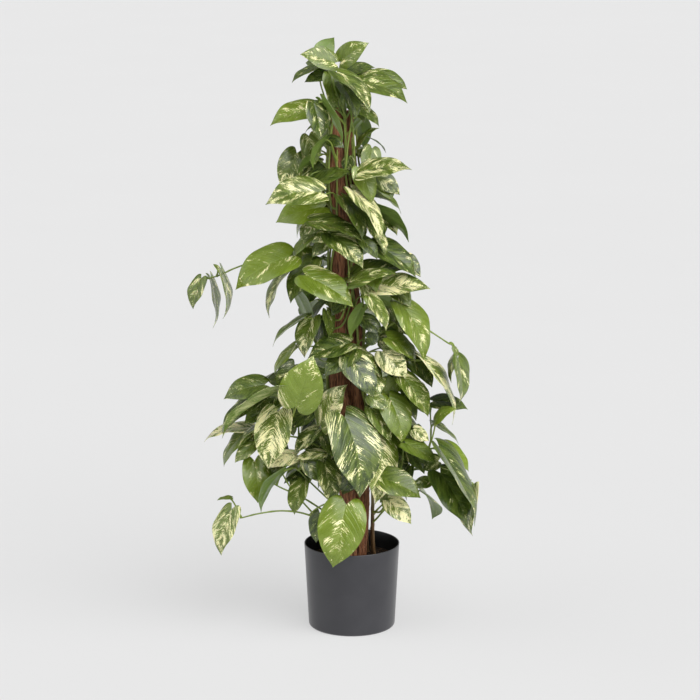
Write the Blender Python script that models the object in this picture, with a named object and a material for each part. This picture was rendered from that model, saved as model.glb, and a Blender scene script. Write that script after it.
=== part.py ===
"""Climbing pothos in a plain round pot, as separate closed solids.

Two bark-covered trunks stand in the soil. Nine vines climb them, and each carries its heart-shaped leaves
on long petioles. The origin is the centre of the pot's underside, +Z is up, the front faces -Y, in metres.
"""

import math
import random
from collections import namedtuple

import bmesh
import bpy
from mathutils import Matrix, Vector
from mathutils.bvhtree import BVHTree

MM = 0.001
GAP = 0.0004
FLAT_ANGLE = math.radians(0.2)

# Pot: a thin tapering wall, a small round at the foot, and drain holes in the floor
POT_HEIGHT = 0.174
POT_RIM_RADIUS = 0.097
POT_BASE_RADIUS = 0.088
POT_WALL = 0.0022
POT_FLOOR = 0.003
POT_FOOT_ROUND = 0.006
POT_SIDES = 28
DRAIN_COUNT = 5
DRAIN_RADIUS = 0.005
DRAIN_RING = 0.060
HOLE_SIDES = 16
SMALL_HOLE_SIDES = 6

# Soil: fills the pot to a little below the rim, with a loose uneven top
SOIL_TOP = 0.140
SOIL_UNEVEN = 0.002
SOIL_WAVE_X = 95
SOIL_WAVE_Y = 110
SOIL_RINGS = (0.45, 0.80)
SOIL_COLLAR = 0.020

# Trunks: rows of height, x, y and radius, in millimetres
TRUNK_FRONT = (
    (30, -3, -9, 13.5), (155, -3, -9, 13.5), (275, -9, -10, 15.5), (440, -16, -10, 16.5),
    (510, -29, -9, 16.5), (640, -26, -10, 13), (745, -27, -11, 13), (820, -19, -11, 15),
    (900, -27, -9, 16.5), (960, -31, -8, 14), (1062, -27, -7, 12),
)
TRUNK_BACK = (
    (30, 18, 11, 12.5), (155, 18, 11, 12.5), (275, 21, 12, 15), (440, 14, 12, 15.5), (510, 3, 12, 16),
    (640, 5, 12, 15.5), (745, -3, 13, 14), (820, 7, 12, 14.5), (900, 4, 12, 15), (960, -5, 12, 13),
    (1055, -8, 11, 9),
)
TRUNK_SIDES = 12
TRUNK_RELIEF = 0.07
TRUNK_RIDGES = ((0.6, 3, 31), (0.4, 5, -47))
TRUNK_HEAD = 0.004
TRUNK_TESTS = 6
STATION_STEP = 0.080
TRUNK_MARGIN = 1.0 + TRUNK_RELIEF

# Vines: their stems leave the soil round the back and sides, and fan out to the front as they climb
VINES = 9
VINE_TOP = 1.050
VINE_TOP_SPREAD = 0.070
VINE_FAN_LOW = math.radians(75)
VINE_FAN_HIGH = math.radians(163)
VINE_SWAY = math.radians(5)
VINE_SWAY_PITCH = 17
VINE_SWAY_SHIFT = 2.1
VINE_FOOT = 0.004
VINE_RADIUS_LOW = 0.0029
VINE_RADIUS_HIGH = 0.0019
VINE_ROOT_DEPTH = 0.045
VINE_ROOT_SPREAD = 0.012
VINE_ROOT_FADE = 12
VINE_SIDES = 4
VINE_END = 0.6
SEATS_EACH = 80
SEAT_LOWEST = 0.020
SEAT_BELOW_TOP = 0.004
GOLDEN = 0.618

# Where a viewer's eye stands; leaf places are given as seen from there on the plane y = 0
EYE = Vector((-0.0037, -5.0, 1.684))

# Leaf blades and petioles
BLADE_THICK = 0.0009
BLADE_STATIONS = (0.0, 0.18, 0.42, 0.76)
BLADE_FEW_STATIONS = (0.0, 0.24, 0.66)
BLADE_FEWEST_STATIONS = (0.0, 0.40)
BLADE_LARGE = 0.118
BLADE_SMALL = 0.085
BLADE_SHOULDER = 0.38
BLADE_WIDEST = 0.30
BLADE_LOBE = 0.13
BLADE_LOBE_SIDE = 0.38
BLADE_FULLNESS = 2.5
BLADE_TIP_DRAW = 0.30
BLADE_SLENDER = 0.70
BLADE_WAVE_PITCH = 9.0
LEAF_ARCH = (0.03, 0.10)
LEAF_FOLD = (0.10, 0.30)
LEAF_WAVE = (0.010, 0.022)
PETIOLE_RADIUS = 0.0013
PETIOLE_SIDES = 3
PETIOLE_INTO_BLADE = 0.0030
PETIOLE_TAPER = 0.20
PETIOLE_OUTWARD = 0.30
PETIOLE_UPWARD = 0.36
PETIOLE_LEAN = Vector((0, 0, 0.25))
PETIOLE_APPROACH = 0.30
PETIOLE_SLOPE = 0.30
PETIOLE_LONG = 0.130
TEST_GROWTH = 0.0005

# Small moves that are tried for a leaf, in millimetres: all of it outwards, its tip further, its root upwards
MOVES_OUT = (0, 4, -4, 8, -8, 13, -13, 18, -18, 24, -24, 30, -30, 37, 45)
MOVES_TIP = (0, 9, -9, 18, -18)
MOVES_CLIMB = (0, -16, 16, -32)
MOVE_COSTS = (1.0, 0.8, 0.3)

TOP = 1
UNDER = -1

# Leaves that show from the front: x and z of the base, x and z of the tip, seen width, how far the base
# and the tip stand out towards the viewer, all in millimetres, and the face that shows
CROWN_LEAVES = (
    (-62, 1168, -35, 1201, 40, -20, -40, UNDER),
    (-34, 1152, -100, 1171, 40, 20, 35, TOP),
    (-22, 1154, 32, 1192, 44, 12, 25, TOP),
    (-15, 1133, 45, 1146, 25, 0, -8, TOP),
    (48, 1130, 110, 1103, 30, -15, -10, TOP),
    (3, 1118, 111, 1079, 40, 25, 50, TOP),
    (-28, 1133, 39, 1057, 36, 48, 78, TOP),
    (-66, 1148, -120, 1116, 12, 0, 10, TOP),
    (-45, 1130, -94, 1116, 25, 5, 0, TOP),
    (-45, 1148, -92, 1152, 36, -35, -50, TOP),
    (-42, 1128, -38, 1062, 36, 42, 60, TOP),
    (-20, 1110, 12, 1043, 32, 25, 34, TOP),
    (-70, 1064, -162, 1033, 46, 20, 45, TOP),
    (-75, 1070, -60, 1003, 42, 45, 60, TOP),
    (-58, 1078, -15, 990, 18, 62, 78, UNDER),
    (-48, 1003, -15, 985, 24, 35, 50, TOP),
    (-85, 1008, -72, 950, 42, 20, 30, TOP),
    (13, 992, 52, 1026, 13, 20, 20, TOP),
    (2, 1022, 35, 1053, 14, -5, -10, UNDER),
    (-52, 1003, -80, 942, 12, 50, 60, UNDER),
)
UPPER_LEAVES = (
    (-109, 974, -141, 905, 54, 5, 20, TOP),
    (-66, 972, -110, 933, 18, 30, 35, UNDER),
    (-85, 905, 0, 940, 30, 48, 42, TOP),
    (-62, 896, -171, 876, 55, 55, 70, TOP),
    (-56, 866, -152, 838, 60, 25, 35, TOP),
    (-78, 838, 22, 803, 35, 50, 62, TOP),
    (-18, 886, 25, 802, 32, 55, 80, TOP),
    (2, 899, 62, 800, 32, 66, 96, TOP),
    (16, 943, 42, 874, 40, 45, 58, TOP),
    (38, 870, 118, 800, 24, 35, 45, UNDER),
    (18, 937, 117, 946, 42, 15, 25, TOP),
    (-85, 832, -90, 783, 35, 20, 30, TOP),
    (-32, 816, -80, 796, 30, 50, 65, TOP),
    (-42, 812, 25, 745, 50, 66, 90, TOP),
    (-70, 768, -140, 757, 42, 5, 10, TOP),
    (-124, 768, -235, 704, 66, 40, 65, TOP),
    (-135, 733, -171, 643, 22, 20, 30, TOP),
    (-80, 758, -127, 673, 42, 30, 42, TOP),
    (-115, 700, -82, 610, 20, 10, 20, UNDER),
    (-92, 728, 5, 668, 60, 62, 88, TOP),
    (45, 790, 131, 728, 48, 25, 40, TOP),
    (3, 730, 106, 745, 38, 45, 40, TOP),
    (0, 715, 88, 736, 30, 62, 58, TOP),
    (50, 705, 157, 706, 48, 45, 55, TOP),
    (40, 690, 87, 665, 30, 20, 20, UNDER),
    (65, 670, 130, 600, 50, 5, 15, TOP),
    (100, 670, 150, 555, 58, 30, 50, TOP),
    (22, 710, 38, 655, 20, 50, 60, TOP),
    (38, 683, 72, 617, 28, 50, 60, TOP),
    (21, 665, -6, 602, 22, 55, 65, UNDER),
    (-301, 722, -321, 660, 28, 10, 20, TOP),
    (-281, 722, -272, 620, 17, 0, 5, TOP),
    (-260, 740, -252, 640, 18, 10, 20, TOP),
    (30, 852, 62, 788, 32, 18, 28, TOP),
    (20, 802, 52, 762, 28, 28, 34, TOP),
    (-45, 802, -80, 766, 32, 28, 38, TOP),
)
MIDDLE_LEAVES = (
    (-80, 640, -98, 560, 44, 35, 50, TOP),
    (-62, 642, -70, 590, 25, 15, 22, TOP),
    (-50, 656, -44, 600, 20, 45, 50, TOP),
    (-5, 590, -90, 562, 45, 60, 70, TOP),
    (5, 575, -58, 522, 45, 74, 90, TOP),
    (-8, 578, 58, 528, 28, 50, 60, TOP),
    (-5, 560, 46, 478, 60, 78, 104, TOP),
    (62, 572, 112, 520, 52, 50, 60, TOP),
    (60, 595, 112, 580, 38, 22, 28, TOP),
    (30, 600, 58, 600, 30, 35, 35, TOP),
    (95, 518, 60, 479, 38, 20, 30, TOP),
    (105, 518, 158, 440, 45, 30, 50, TOP),
    (140, 557, 212, 425, 15, 25, 40, TOP),
    (165, 470, 236, 456, 32, 30, 35, TOP),
    (168, 430, 209, 456, 22, 40, 40, TOP),
    (214, 558, 222, 466, 26, 10, 15, TOP),
    (207, 565, 197, 508, 16, 0, 0, TOP),
    (205, 580, 213, 562, 12, 15, 15, TOP),
    (-176, 504, -260, 477, 50, 5, 10, TOP),
    (-192, 475, -268, 406, 36, 12, 18, TOP),
    (-140, 494, -268, 402, 18, 45, 45, UNDER),
    (-205, 415, -302, 391, 18, 25, 25, TOP),
    (-215, 405, -264, 335, 28, 5, 8, TOP),
    (-200, 378, -239, 343, 26, 30, 35, TOP),
    (-150, 447, -172, 328, 76, 55, 85, TOP),
    (-140, 490, -188, 445, 38, 20, 32, TOP),
    (-125, 468, -178, 436, 10, 75, 80, TOP),
    (-140, 515, -172, 515, 28, -10, -15, TOP),
    (-115, 545, -150, 495, 46, 20, 30, TOP),
    (-113, 460, -78, 562, 88, 62, 72, TOP),
    (-112, 358, -171, 332, 34, 40, 50, TOP),
    (-60, 362, -118, 348, 24, 62, 68, TOP),
    (-62, 422, -13, 506, 56, 60, 75, TOP),
    (-75, 455, -135, 410, 40, 30, 40, TOP),
    (20, 642, 62, 610, 32, 30, 36, TOP),
    (122, 562, 165, 500, 34, 10, 18, TOP),
    (128, 480, 158, 442, 30, 20, 26, TOP),
    (-58, 402, -30, 350, 36, 42, 52, TOP),
)
LOWER_LEAVES = (
    (-197, 345, -190, 256, 58, 25, 45, TOP),
    (-137, 327, -190, 240, 16, 45, 50, UNDER),
    (-80, 330, -140, 300, 30, 25, 35, TOP),
    (-55, 338, -38, 250, 48, 75, 92, TOP),
    (-100, 300, -120, 232, 36, 40, 50, TOP),
    (-245, 243, -272, 146, 42, 40, 60, TOP),
    (-245, 268, -275, 264, 8, 15, 15, TOP),
    (-12, 252, -39, 118, 96, 118, 142, TOP),
    (-65, 235, -75, 172, 36, 60, 74, TOP),
    (-14, 436, 22, 268, 95, 92, 122, TOP),
    (42, 400, 53, 252, 76, 78, 100, TOP),
    (75, 478, 105, 382, 56, 50, 70, TOP),
    (40, 455, 80, 385, 40, 60, 70, TOP),
    (35, 480, 75, 455, 32, 78, 84, TOP),
    (100, 480, 133, 430, 24, 20, 30, TOP),
    (125, 410, 157, 387, 28, 50, 55, TOP),
    (175, 345, 128, 335, 36, 10, 20, TOP),
    (158, 303, 122, 292, 26, 20, 30, TOP),
    (180, 320, 237, 211, 68, 55, 85, TOP),
    (178, 372, 260, 214, 34, 30, 45, TOP),
    (190, 378, 240, 325, 34, 0, 5, TOP),
    (243, 290, 241, 186, 38, 20, 30, TOP),
    (75, 262, 122, 213, 44, 62, 78, TOP),
    (118, 330, 108, 262, 22, 40, 50, TOP),
    (80, 285, 57, 257, 26, 50, 60, TOP),
    (70, 330, 80, 288, 28, 60, 70, TOP),
    (115, 335, 88, 305, 34, 15, 20, TOP),
    (165, 425, 219, 383, 8, 10, 10, TOP),
    (96, 425, 113, 360, 28, 38, 45, TOP),
    (-92, 347, -60, 300, 38, 48, 58, TOP),
)
SEEN_LEAVES = CROWN_LEAVES + UPPER_LEAVES + MIDDLE_LEAVES + LOWER_LEAVES

# Side shoots: x, z and how far out, in millimetres, from the vine to the shoot's end
SHOOTS = (
    ((-60, 728, 5), (-95, 744, 12), (-160, 752, 16), (-200, 753, 14), (-235, 742, 12), (-265, 728, 8),
     (-298, 719, 8)),
    ((-42, 205, 18), (-90, 232, 40), (-140, 240, 48), (-190, 234, 46), (-225, 225, 42)),
    ((-45, 232, 18), (-100, 268, 26), (-150, 292, 28), (-180, 312, 24)),
    ((-40, 258, 22), (-80, 296, 36), (-108, 326, 40)),
    ((-60, 372, 10), (-100, 392, 22), (-150, 398, 24), (-190, 396, 20)),
    ((38, 590, 8), (80, 628, 18), (115, 640, 20), (160, 612, 14), (196, 588, 8)),
    ((52, 225, 5), (80, 262, 12), (100, 300, 16), (125, 340, 18), (150, 360, 16)),
)
SHOOT_RADIUS = 0.0017
SHOOT_STEP = 0.030
SHOOT_TAPER = 0.35

# Leaves that a rule places: how many, lowest and highest, reach from the middle and length at the bottom and
# at the top, the directions they face, how far round from these they swing, and the seed
Cover = namedtuple("Cover", "count low high reach_low reach_high length_low length_high turns swing seed")
BACK = Cover(34, 0.265, 1.095, (0.075, 0.160), (0.045, 0.070), (0.085, 0.125), (0.065, 0.090),
             (math.pi / 2,), math.radians(62), 11)
SIDES = Cover(26, 0.335, 1.040, (0.045, 0.125), (0.028, 0.045), (0.070, 0.105), (0.050, 0.068),
              (0.0, math.pi), math.radians(52), 7)
COVERS = (BACK, SIDES)
COVER_NARROWING = 0.45
COVER_STEADYING = 0.60
COVER_LEAN = 0.6
COVER_TILT = Vector((0, 0, 0.5))
COVER_UNEVEN = 0.3
COVER_OUTWARD = (0.2, 0.9)
COVER_HANG = (0.3, 1.0)
COVER_WIDTH = (0.66, 0.80)

Leaf = namedtuple("Leaf", "base tip width facing away seed")
Shape = namedtuple("Shape", "verts faces")


def smooth_rows(rows, at):
    """Reads rows of (position, value, ...) at a position, along a smooth curve through every row."""
    at = min(max(at, rows[0][0]), rows[-1][0])
    low = next(n for n in range(len(rows) - 1) if at <= rows[n + 1][0])
    before, a, b, after = rows[max(low - 1, 0)], rows[low], rows[low + 1], rows[min(low + 2, len(rows) - 1)]
    span = b[0] - a[0]
    s = (at - a[0]) / span
    values = []
    for n in range(1, len(a)):
        leave = (b[n] - before[n]) / (b[0] - before[0]) * span
        arrive = (after[n] - a[n]) / (after[0] - a[0]) * span
        start = (1 + 2 * s) * (1 - s) ** 2 * a[n] + s * (1 - s) ** 2 * leave
        values.append(start + s * s * (3 - 2 * s) * b[n] + s * s * (s - 1) * arrive)
    return values


def trunk_at(rows, z):
    """Centre and radius of a trunk at a height."""
    x, y, radius = smooth_rows(rows, z / MM)
    return Vector((x * MM, y * MM, z)), radius * MM


def bundle_centre(z):
    """Middle of the two trunks at a height."""
    return (trunk_at(TRUNK_FRONT, z)[0] + trunk_at(TRUNK_BACK, z)[0]) / 2


def vine_top(number):
    """Height at which a vine ends."""
    return VINE_TOP - VINE_TOP_SPREAD * (number * GOLDEN % 1)


def vine_point(number, z):
    """Centre of a vine's stem at a height, just outside both trunks."""
    level = max(z, SOIL_TOP + VINE_FOOT)
    rise = (level - SOIL_TOP) / (VINE_TOP - SOIL_TOP)
    share = 2 * number / (VINES - 1) - 1
    fan = VINE_FAN_LOW + (VINE_FAN_HIGH - VINE_FAN_LOW) * rise
    sway = VINE_SWAY * math.sin(level * VINE_SWAY_PITCH + number * VINE_SWAY_SHIFT) * min(1, rise * 4)
    turn = math.pi / 2 + share * fan + sway
    way = Vector((math.cos(turn), math.sin(turn), 0))
    centre = bundle_centre(level)
    trunks = (trunk_at(TRUNK_FRONT, level), trunk_at(TRUNK_BACK, level))
    reach = max(way.dot(middle - centre) + radius * TRUNK_MARGIN for middle, radius in trunks)
    reach += VINE_RADIUS_LOW + GAP + VINE_ROOT_SPREAD * math.exp(-rise * VINE_ROOT_FADE)
    place = centre + way * reach
    return Vector((place.x, place.y, z))


def vine_radius(z):
    """Radius of a vine's stem at a height."""
    rise = min(max((z - SOIL_TOP) / (VINE_TOP - SOIL_TOP), 0), 1)
    return VINE_RADIUS_LOW + (VINE_RADIUS_HIGH - VINE_RADIUS_LOW) * rise


def stations(low, high):
    """Heights of the rings of a trunk or a vine, at the same levels on all of them."""
    levels = [SOIL_TOP + VINE_FOOT + STATION_STEP * n for n in range(round(VINE_TOP / STATION_STEP))]
    return [low] + [z for z in levels if low + 0.01 < z < high - 0.01] + [high]


def vine_place(number, z):
    """Place inside a vine's stem at a height, on the straight run between two of its rings."""
    levels = stations(SOIL_TOP - VINE_ROOT_DEPTH, vine_top(number))
    upper = next(n for n in range(1, len(levels)) if z <= levels[n] or n == len(levels) - 1)
    low, high = levels[upper - 1], levels[upper]
    return vine_point(number, low).lerp(vine_point(number, high), (z - low) / (high - low))


def seen(x, z, out):
    """Place in space of a point seen at x, z on the plane y = 0 and standing out towards the viewer."""
    return EYE + (Vector((x * MM, 0, z * MM)) - EYE) * (1 - out * MM / -EYE.y)


def curve_points(knots, step):
    """Points along a smooth curve through the knots, about a step apart."""
    reached = [0.0]
    for a, b in zip(knots, knots[1:]):
        reached.append(reached[-1] + (b - a).length)
    rows = [(s, *knot) for s, knot in zip(reached, knots)]
    count = max(2, round(reached[-1] / step))
    return [Vector(smooth_rows(rows, reached[-1] * n / count)) for n in range(count + 1)]


def tube(points, radii, sides):
    """Closed tube with round-ish rings square to its path."""
    verts, faces = [], []
    side = None
    for n, point in enumerate(points):
        ahead = points[min(n + 1, len(points) - 1)] - points[max(n - 1, 0)]
        ahead.normalize()
        if side is None:
            side = ahead.orthogonal()
        side = (side - ahead * side.dot(ahead)).normalized()
        other = ahead.cross(side)
        for k in range(sides):
            turn = 2 * math.pi * k / sides
            verts.append(point + (side * math.cos(turn) + other * math.sin(turn)) * radii[n])
    for n in range(len(points) - 1):
        for k in range(sides):
            a, b = n * sides + k, n * sides + (k + 1) % sides
            faces.append((a, b, b + sides))
            faces.append((a, b + sides, a + sides))
    last = (len(points) - 1) * sides
    for k in range(1, sides - 1):
        faces.append((0, k + 1, k))
        faces.append((last, last + k, last + k + 1))
    return Shape(verts, faces)


def blade_outline(t):
    """Half width and distance along the midrib of a heart-shaped edge, from its lobe at 0 to its tip at 1."""
    if t < BLADE_SHOULDER:
        turn = math.pi / 2 * t / BLADE_SHOULDER
        half = BLADE_LOBE_SIDE + (1 - BLADE_LOBE_SIDE) * math.sin(turn)
        return half, BLADE_WIDEST - (BLADE_WIDEST + BLADE_LOBE) * math.cos(turn)
    s = (t - BLADE_SHOULDER) / (1 - BLADE_SHOULDER)
    half = (1 - s ** BLADE_FULLNESS) * (1 - BLADE_TIP_DRAW * s ** 6)
    return half, BLADE_WIDEST + (1 - BLADE_WIDEST) * s


def leaf_axes(leaf):
    """Unit vectors along a leaf, across it and out of its upper face, with its length and real width."""
    ahead = leaf.tip - leaf.base
    length = ahead.length
    ahead.normalize()
    facing = leaf.facing - ahead * leaf.facing.dot(ahead)
    facing.normalize()
    width = max(leaf.width, BLADE_SLENDER * length)
    roll = math.acos(min(1.0, leaf.width / width))
    turned = [Matrix.Rotation(way * roll, 3, ahead) @ facing for way in (1, -1)]
    normal = max(turned, key=lambda way: way.z)
    return ahead, ahead.cross(normal), normal, length, width


def leaf_habit(leaf):
    """Arch, fold and edge wave of one leaf, and where its wave starts."""
    pick = random.Random(leaf.seed)
    return tuple(pick.uniform(*span) for span in (LEAF_ARCH, LEAF_FOLD, LEAF_WAVE, (0, 2 * math.pi)))


def blade_point(leaf, axes, habit, t, v):
    """Place on a leaf's middle surface: t from lobe to tip, v from edge to edge."""
    ahead, across, normal, length, width = axes
    arch, fold, wave, start = habit
    half, edge = blade_outline(t)
    side = v * half * width / 2
    along = length * (t + (edge - t) * math.sin(math.pi / 2 * abs(v)))
    share = along / length
    lift = 4 * arch * along * (1 - share) + fold * abs(side)
    lift += wave * length * v * v * math.sin(BLADE_WAVE_PITCH * t + start + v) * (1 - t * t)
    return leaf.base + ahead * along + across * side + normal * lift


def blade(leaf, grow=0.0):
    """Leaf blade as a thin closed body, with both faces split alike."""
    ahead, across, normal, length, width = leaf_axes(leaf)
    axes = (ahead, across, normal, length + 2 * grow, width + 2 * grow)
    habit = leaf_habit(leaf)
    lift = normal * (BLADE_THICK / 2 + grow)
    rows = BLADE_STATIONS if length > BLADE_LARGE else BLADE_FEW_STATIONS
    if length < BLADE_SMALL:
        rows = BLADE_FEWEST_STATIONS
    middle = [blade_point(leaf, axes, habit, t, v) for t in rows for v in (-1, 0, 1)]
    middle.append(blade_point(leaf, axes, habit, 1.0, 0.0))
    count = len(middle)
    verts = [point + lift for point in middle] + [point - lift for point in middle]
    tip = count - 1
    tops = []
    for n in range(len(rows) - 1):
        left, mid, right = 3 * n, 3 * n + 1, 3 * n + 2
        tops += [(left, mid + 3, left + 3), (left, mid, mid + 3)]
        tops += [(right, right + 3, mid + 3), (right, mid + 3, mid)]
    tops += [(tip - 3, tip - 2, tip), (tip - 2, tip - 1, tip)]
    rim = [1, 0] + [3 * n for n in range(1, len(rows))] + [tip]
    rim += [3 * n + 2 for n in range(len(rows) - 1, -1, -1)]
    faces = list(tops) + [(c + count, b + count, a + count) for a, b, c in tops]
    for a, b in zip(rim, rim[1:] + rim[:1]):
        faces.append((a, b, b + count))
        faces.append((a, b + count, a + count))
    return Shape(verts, faces)


def trunk_blocks(start, end):
    """True where a straight line between two places would run into the trunks."""
    for n in range(1, TRUNK_TESTS):
        point = start.lerp(end, n / TRUNK_TESTS)
        for rows in (TRUNK_FRONT, TRUNK_BACK):
            middle, radius = trunk_at(rows, point.z)
            if point.z < VINE_TOP and (point - middle).length < radius:
                return True
    return False


def petiole_seat(stems, base):
    """Vine and place on it that a petiole grows from: near the leaf, lower, and in sight of it."""
    def effort(option):
        """How far the petiole has to run, with a fine for running level or down."""
        away = base - option[1]
        short = max(0.0, PETIOLE_SLOPE * math.hypot(away.x, away.y) - away.z)
        return away.length + 2 * short
    ranked = sorted(stems, key=effort)
    return next((option for option in ranked if not trunk_blocks(option[1], base)), ranked[0])


def petiole(leaf, place, radius=PETIOLE_RADIUS):
    """Curved stalk from a place inside a stem, up and out, to the underside of the blade."""
    axes = leaf_axes(leaf)
    ahead, normal = axes[0], axes[2]
    end = blade_point(leaf, axes, leaf_habit(leaf), PETIOLE_INTO_BLADE / axes[3], 0)
    run = (end - place).length
    outward = Vector((end.x - place.x, end.y - place.y, 0)).normalized()
    leave = place + (outward * PETIOLE_OUTWARD + Vector((0, 0, PETIOLE_UPWARD))) * run
    arrive = end - ((normal + ahead) / 2 + PETIOLE_LEAN).normalized() * run * PETIOLE_APPROACH
    count = 2 if run < PETIOLE_LONG else 3
    points = []
    for n in range(count + 1):
        s = n / count
        a, b = place.lerp(leave, s), leave.lerp(arrive, s)
        c = arrive.lerp(end, s)
        points.append(a.lerp(b, s).lerp(b.lerp(c, s), s))
    radii = [radius] * count + [radius * PETIOLE_TAPER]
    return tube(points, radii, PETIOLE_SIDES)


def settle_moves():
    """Small moves tried for a leaf, gentlest first: out, tip further out, and along the stem."""
    moves = [(out, tip, climb) for out in MOVES_OUT for tip in MOVES_TIP for climb in MOVES_CLIMB]
    return sorted(moves, key=lambda move: sum(cost * abs(step) for cost, step in zip(MOVE_COSTS, move)))


def moved_leaf(leaf, move):
    """Leaf after a small move, its line of sight kept."""
    return leaf._replace(base=leaf.base + leaf.away * move[0] * MM,
                         tip=leaf.tip + leaf.away * (move[0] + move[1]) * MM)


def moved_seat(number, place, leaf, move):
    """Place of a petiole's root after the same move."""
    if move[2] == 0 or (place - vine_place(number, min(place.z, vine_top(number)))).length > MM:
        return place
    height = min(max(place.z + move[2] * MM, SOIL_TOP + SEAT_LOWEST), vine_top(number) - SEAT_BELOW_TOP)
    return vine_place(number, height)


def front_leaves():
    """Leaves that show from the front, in the order of their lists."""
    leaves = []
    for number, (x0, z0, x1, z1, width, out0, out1, face) in enumerate(SEEN_LEAVES):
        base, tip = seen(x0, z0, out0), seen(x1, z1, out1)
        towards = (EYE - base).normalized()
        leaves.append(Leaf(base, tip, width * MM, towards * face, towards, number))
    return leaves


def cover_leaves(cover, first):
    """Leaves that a rule places, with seeds that count up from the first."""
    pick = random.Random(cover.seed)
    leaves = []
    for number in range(cover.count):
        rise = (number + pick.uniform(-COVER_UNEVEN, COVER_UNEVEN)) / (cover.count - 1)
        swing = cover.swing * (1 - COVER_NARROWING * rise) * (2 * (number * GOLDEN % 1) - 1)
        turn = cover.turns[number % len(cover.turns)] + swing + pick.uniform(-0.1, 0.1)
        way = Vector((math.cos(turn), math.sin(turn), 0))
        low, high = pick.uniform(*cover.reach_low), pick.uniform(*cover.reach_high)
        reach = low + (high - low) * rise
        low, high = pick.uniform(*cover.length_low), pick.uniform(*cover.length_high)
        length = low + (high - low) * rise
        base = bundle_centre(cover.low + (cover.high - cover.low) * rise) + way * reach
        lean = way.cross(Vector((0, 0, 1))) * pick.uniform(-COVER_LEAN, COVER_LEAN)
        lean *= 1 - COVER_STEADYING * rise
        hang = way * pick.uniform(*COVER_OUTWARD) + lean - Vector((0, 0, pick.uniform(*COVER_HANG)))
        tip = base + hang.normalized() * length
        width = length * pick.uniform(*COVER_WIDTH)
        leaves.append(Leaf(base, tip, width, way + COVER_TILT, way, first + number))
    return leaves


def all_leaves():
    """Every leaf as planned: the seen ones first, then those of each cover."""
    leaves = front_leaves()
    for cover in COVERS:
        leaves += cover_leaves(cover, len(leaves))
    return leaves


def box_of(verts):
    """Lowest and highest corners round some points."""
    low = [min(v[k] for v in verts) for k in range(3)]
    high = [max(v[k] for v in verts) for k in range(3)]
    return low, high


class Obstacle:
    """A shape already in place, with what is needed to test another against it."""

    def __init__(self, shape, node):
        self.node = node
        self.low, self.high = box_of(shape.verts)
        self.tree = BVHTree.FromPolygons(shape.verts, shape.faces)

    def meets(self, box, tree):
        """True where another shape's surface crosses this one."""
        if any(box[0][k] > self.high[k] or box[1][k] < self.low[k] for k in range(3)):
            return False
        return bool(self.tree.overlap(tree))


def crossings(shape, obstacles, skip=None):
    """Nodes whose shapes cross this one, apart from the one to skip."""
    box, tree = box_of(shape.verts), BVHTree.FromPolygons(shape.verts, shape.faces)
    return {item.node for item in obstacles if item.node != skip and item.meets(box, tree)}


def settle(leaves, stems, obstacles):
    """Places every leaf so that it clears the other nodes: vine number, blade and petiole of each."""
    blades = []
    placed = []
    for leaf in leaves:
        choice = None
        for move in settle_moves():
            moved = moved_leaf(leaf, move)
            number, place = petiole_seat(stems, moved.base)
            place = moved_seat(number, place, moved, move)
            own = "vine_%d" % (number + 1)
            grown = blade(moved, TEST_GROWTH)
            stalk = petiole(moved, place, PETIOLE_RADIUS + TEST_GROWTH)
            foreign = crossings(grown, obstacles) | crossings(stalk, obstacles, own)
            if foreign - {own}:
                continue
            inner = foreign or crossings(grown, blades) or crossings(stalk, blades)
            if choice is None or not inner:
                choice = (number, moved, place)
            if not inner:
                break
        if choice is None:
            placed.append((None, leaf, None, None))
            continue
        number, moved, place = choice
        own = "vine_%d" % (number + 1)
        face, stalk = blade(moved), petiole(moved, place)
        obstacles += [Obstacle(face, own), Obstacle(stalk, own)]
        blades += [Obstacle(face, own)]
        placed.append((number, moved, face, stalk))
    return placed


def plain_material(name, colour, roughness, metallic=0.0):
    """Principled material of one colour."""
    material = bpy.data.materials.new(name)
    material.use_nodes = True
    shader = material.node_tree.nodes["Principled BSDF"]
    shader.inputs["Base Color"].default_value = (*colour, 1.0)
    shader.inputs["Roughness"].default_value = roughness
    shader.inputs["Metallic"].default_value = metallic
    return material


def mesh_object(name, shape, collection=None):
    """Object made from a shape."""
    mesh = bpy.data.meshes.new(name)
    mesh.from_pydata([tuple(v) for v in shape.verts], [], shape.faces)
    mesh.update()
    item = bpy.data.objects.new(name, mesh)
    (collection or bpy.context.scene.collection).objects.link(item)
    return item


def apply_boolean(item, operation, shapes):
    """Joins shapes to an object, or cuts them from it, in one step."""
    tools = bpy.data.collections.new(item.name + "_tools")
    for n, shape in enumerate(shapes):
        mesh_object("%s_tool_%d" % (item.name, n), shape, tools)
    change = item.modifiers.new(operation.lower(), "BOOLEAN")
    change.operation = operation
    change.solver = "EXACT"
    change.operand_type = "COLLECTION"
    change.collection = tools
    graph = bpy.context.evaluated_depsgraph_get()
    result = bpy.data.meshes.new_from_object(item.evaluated_get(graph))
    item.modifiers.clear()
    item.data = result
    for tool in list(tools.objects):
        bpy.data.objects.remove(tool)
    bpy.data.collections.remove(tools)


def triangulated(item):
    """Joins faces that lie in one plane, then splits an object's faces into triangles."""
    shell = bmesh.new()
    shell.from_mesh(item.data)
    bmesh.ops.dissolve_limit(shell, angle_limit=FLAT_ANGLE, verts=shell.verts[:], edges=shell.edges[:])
    bmesh.ops.triangulate(shell, faces=shell.faces[:])
    shell.to_mesh(item.data)
    shell.free()


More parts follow.
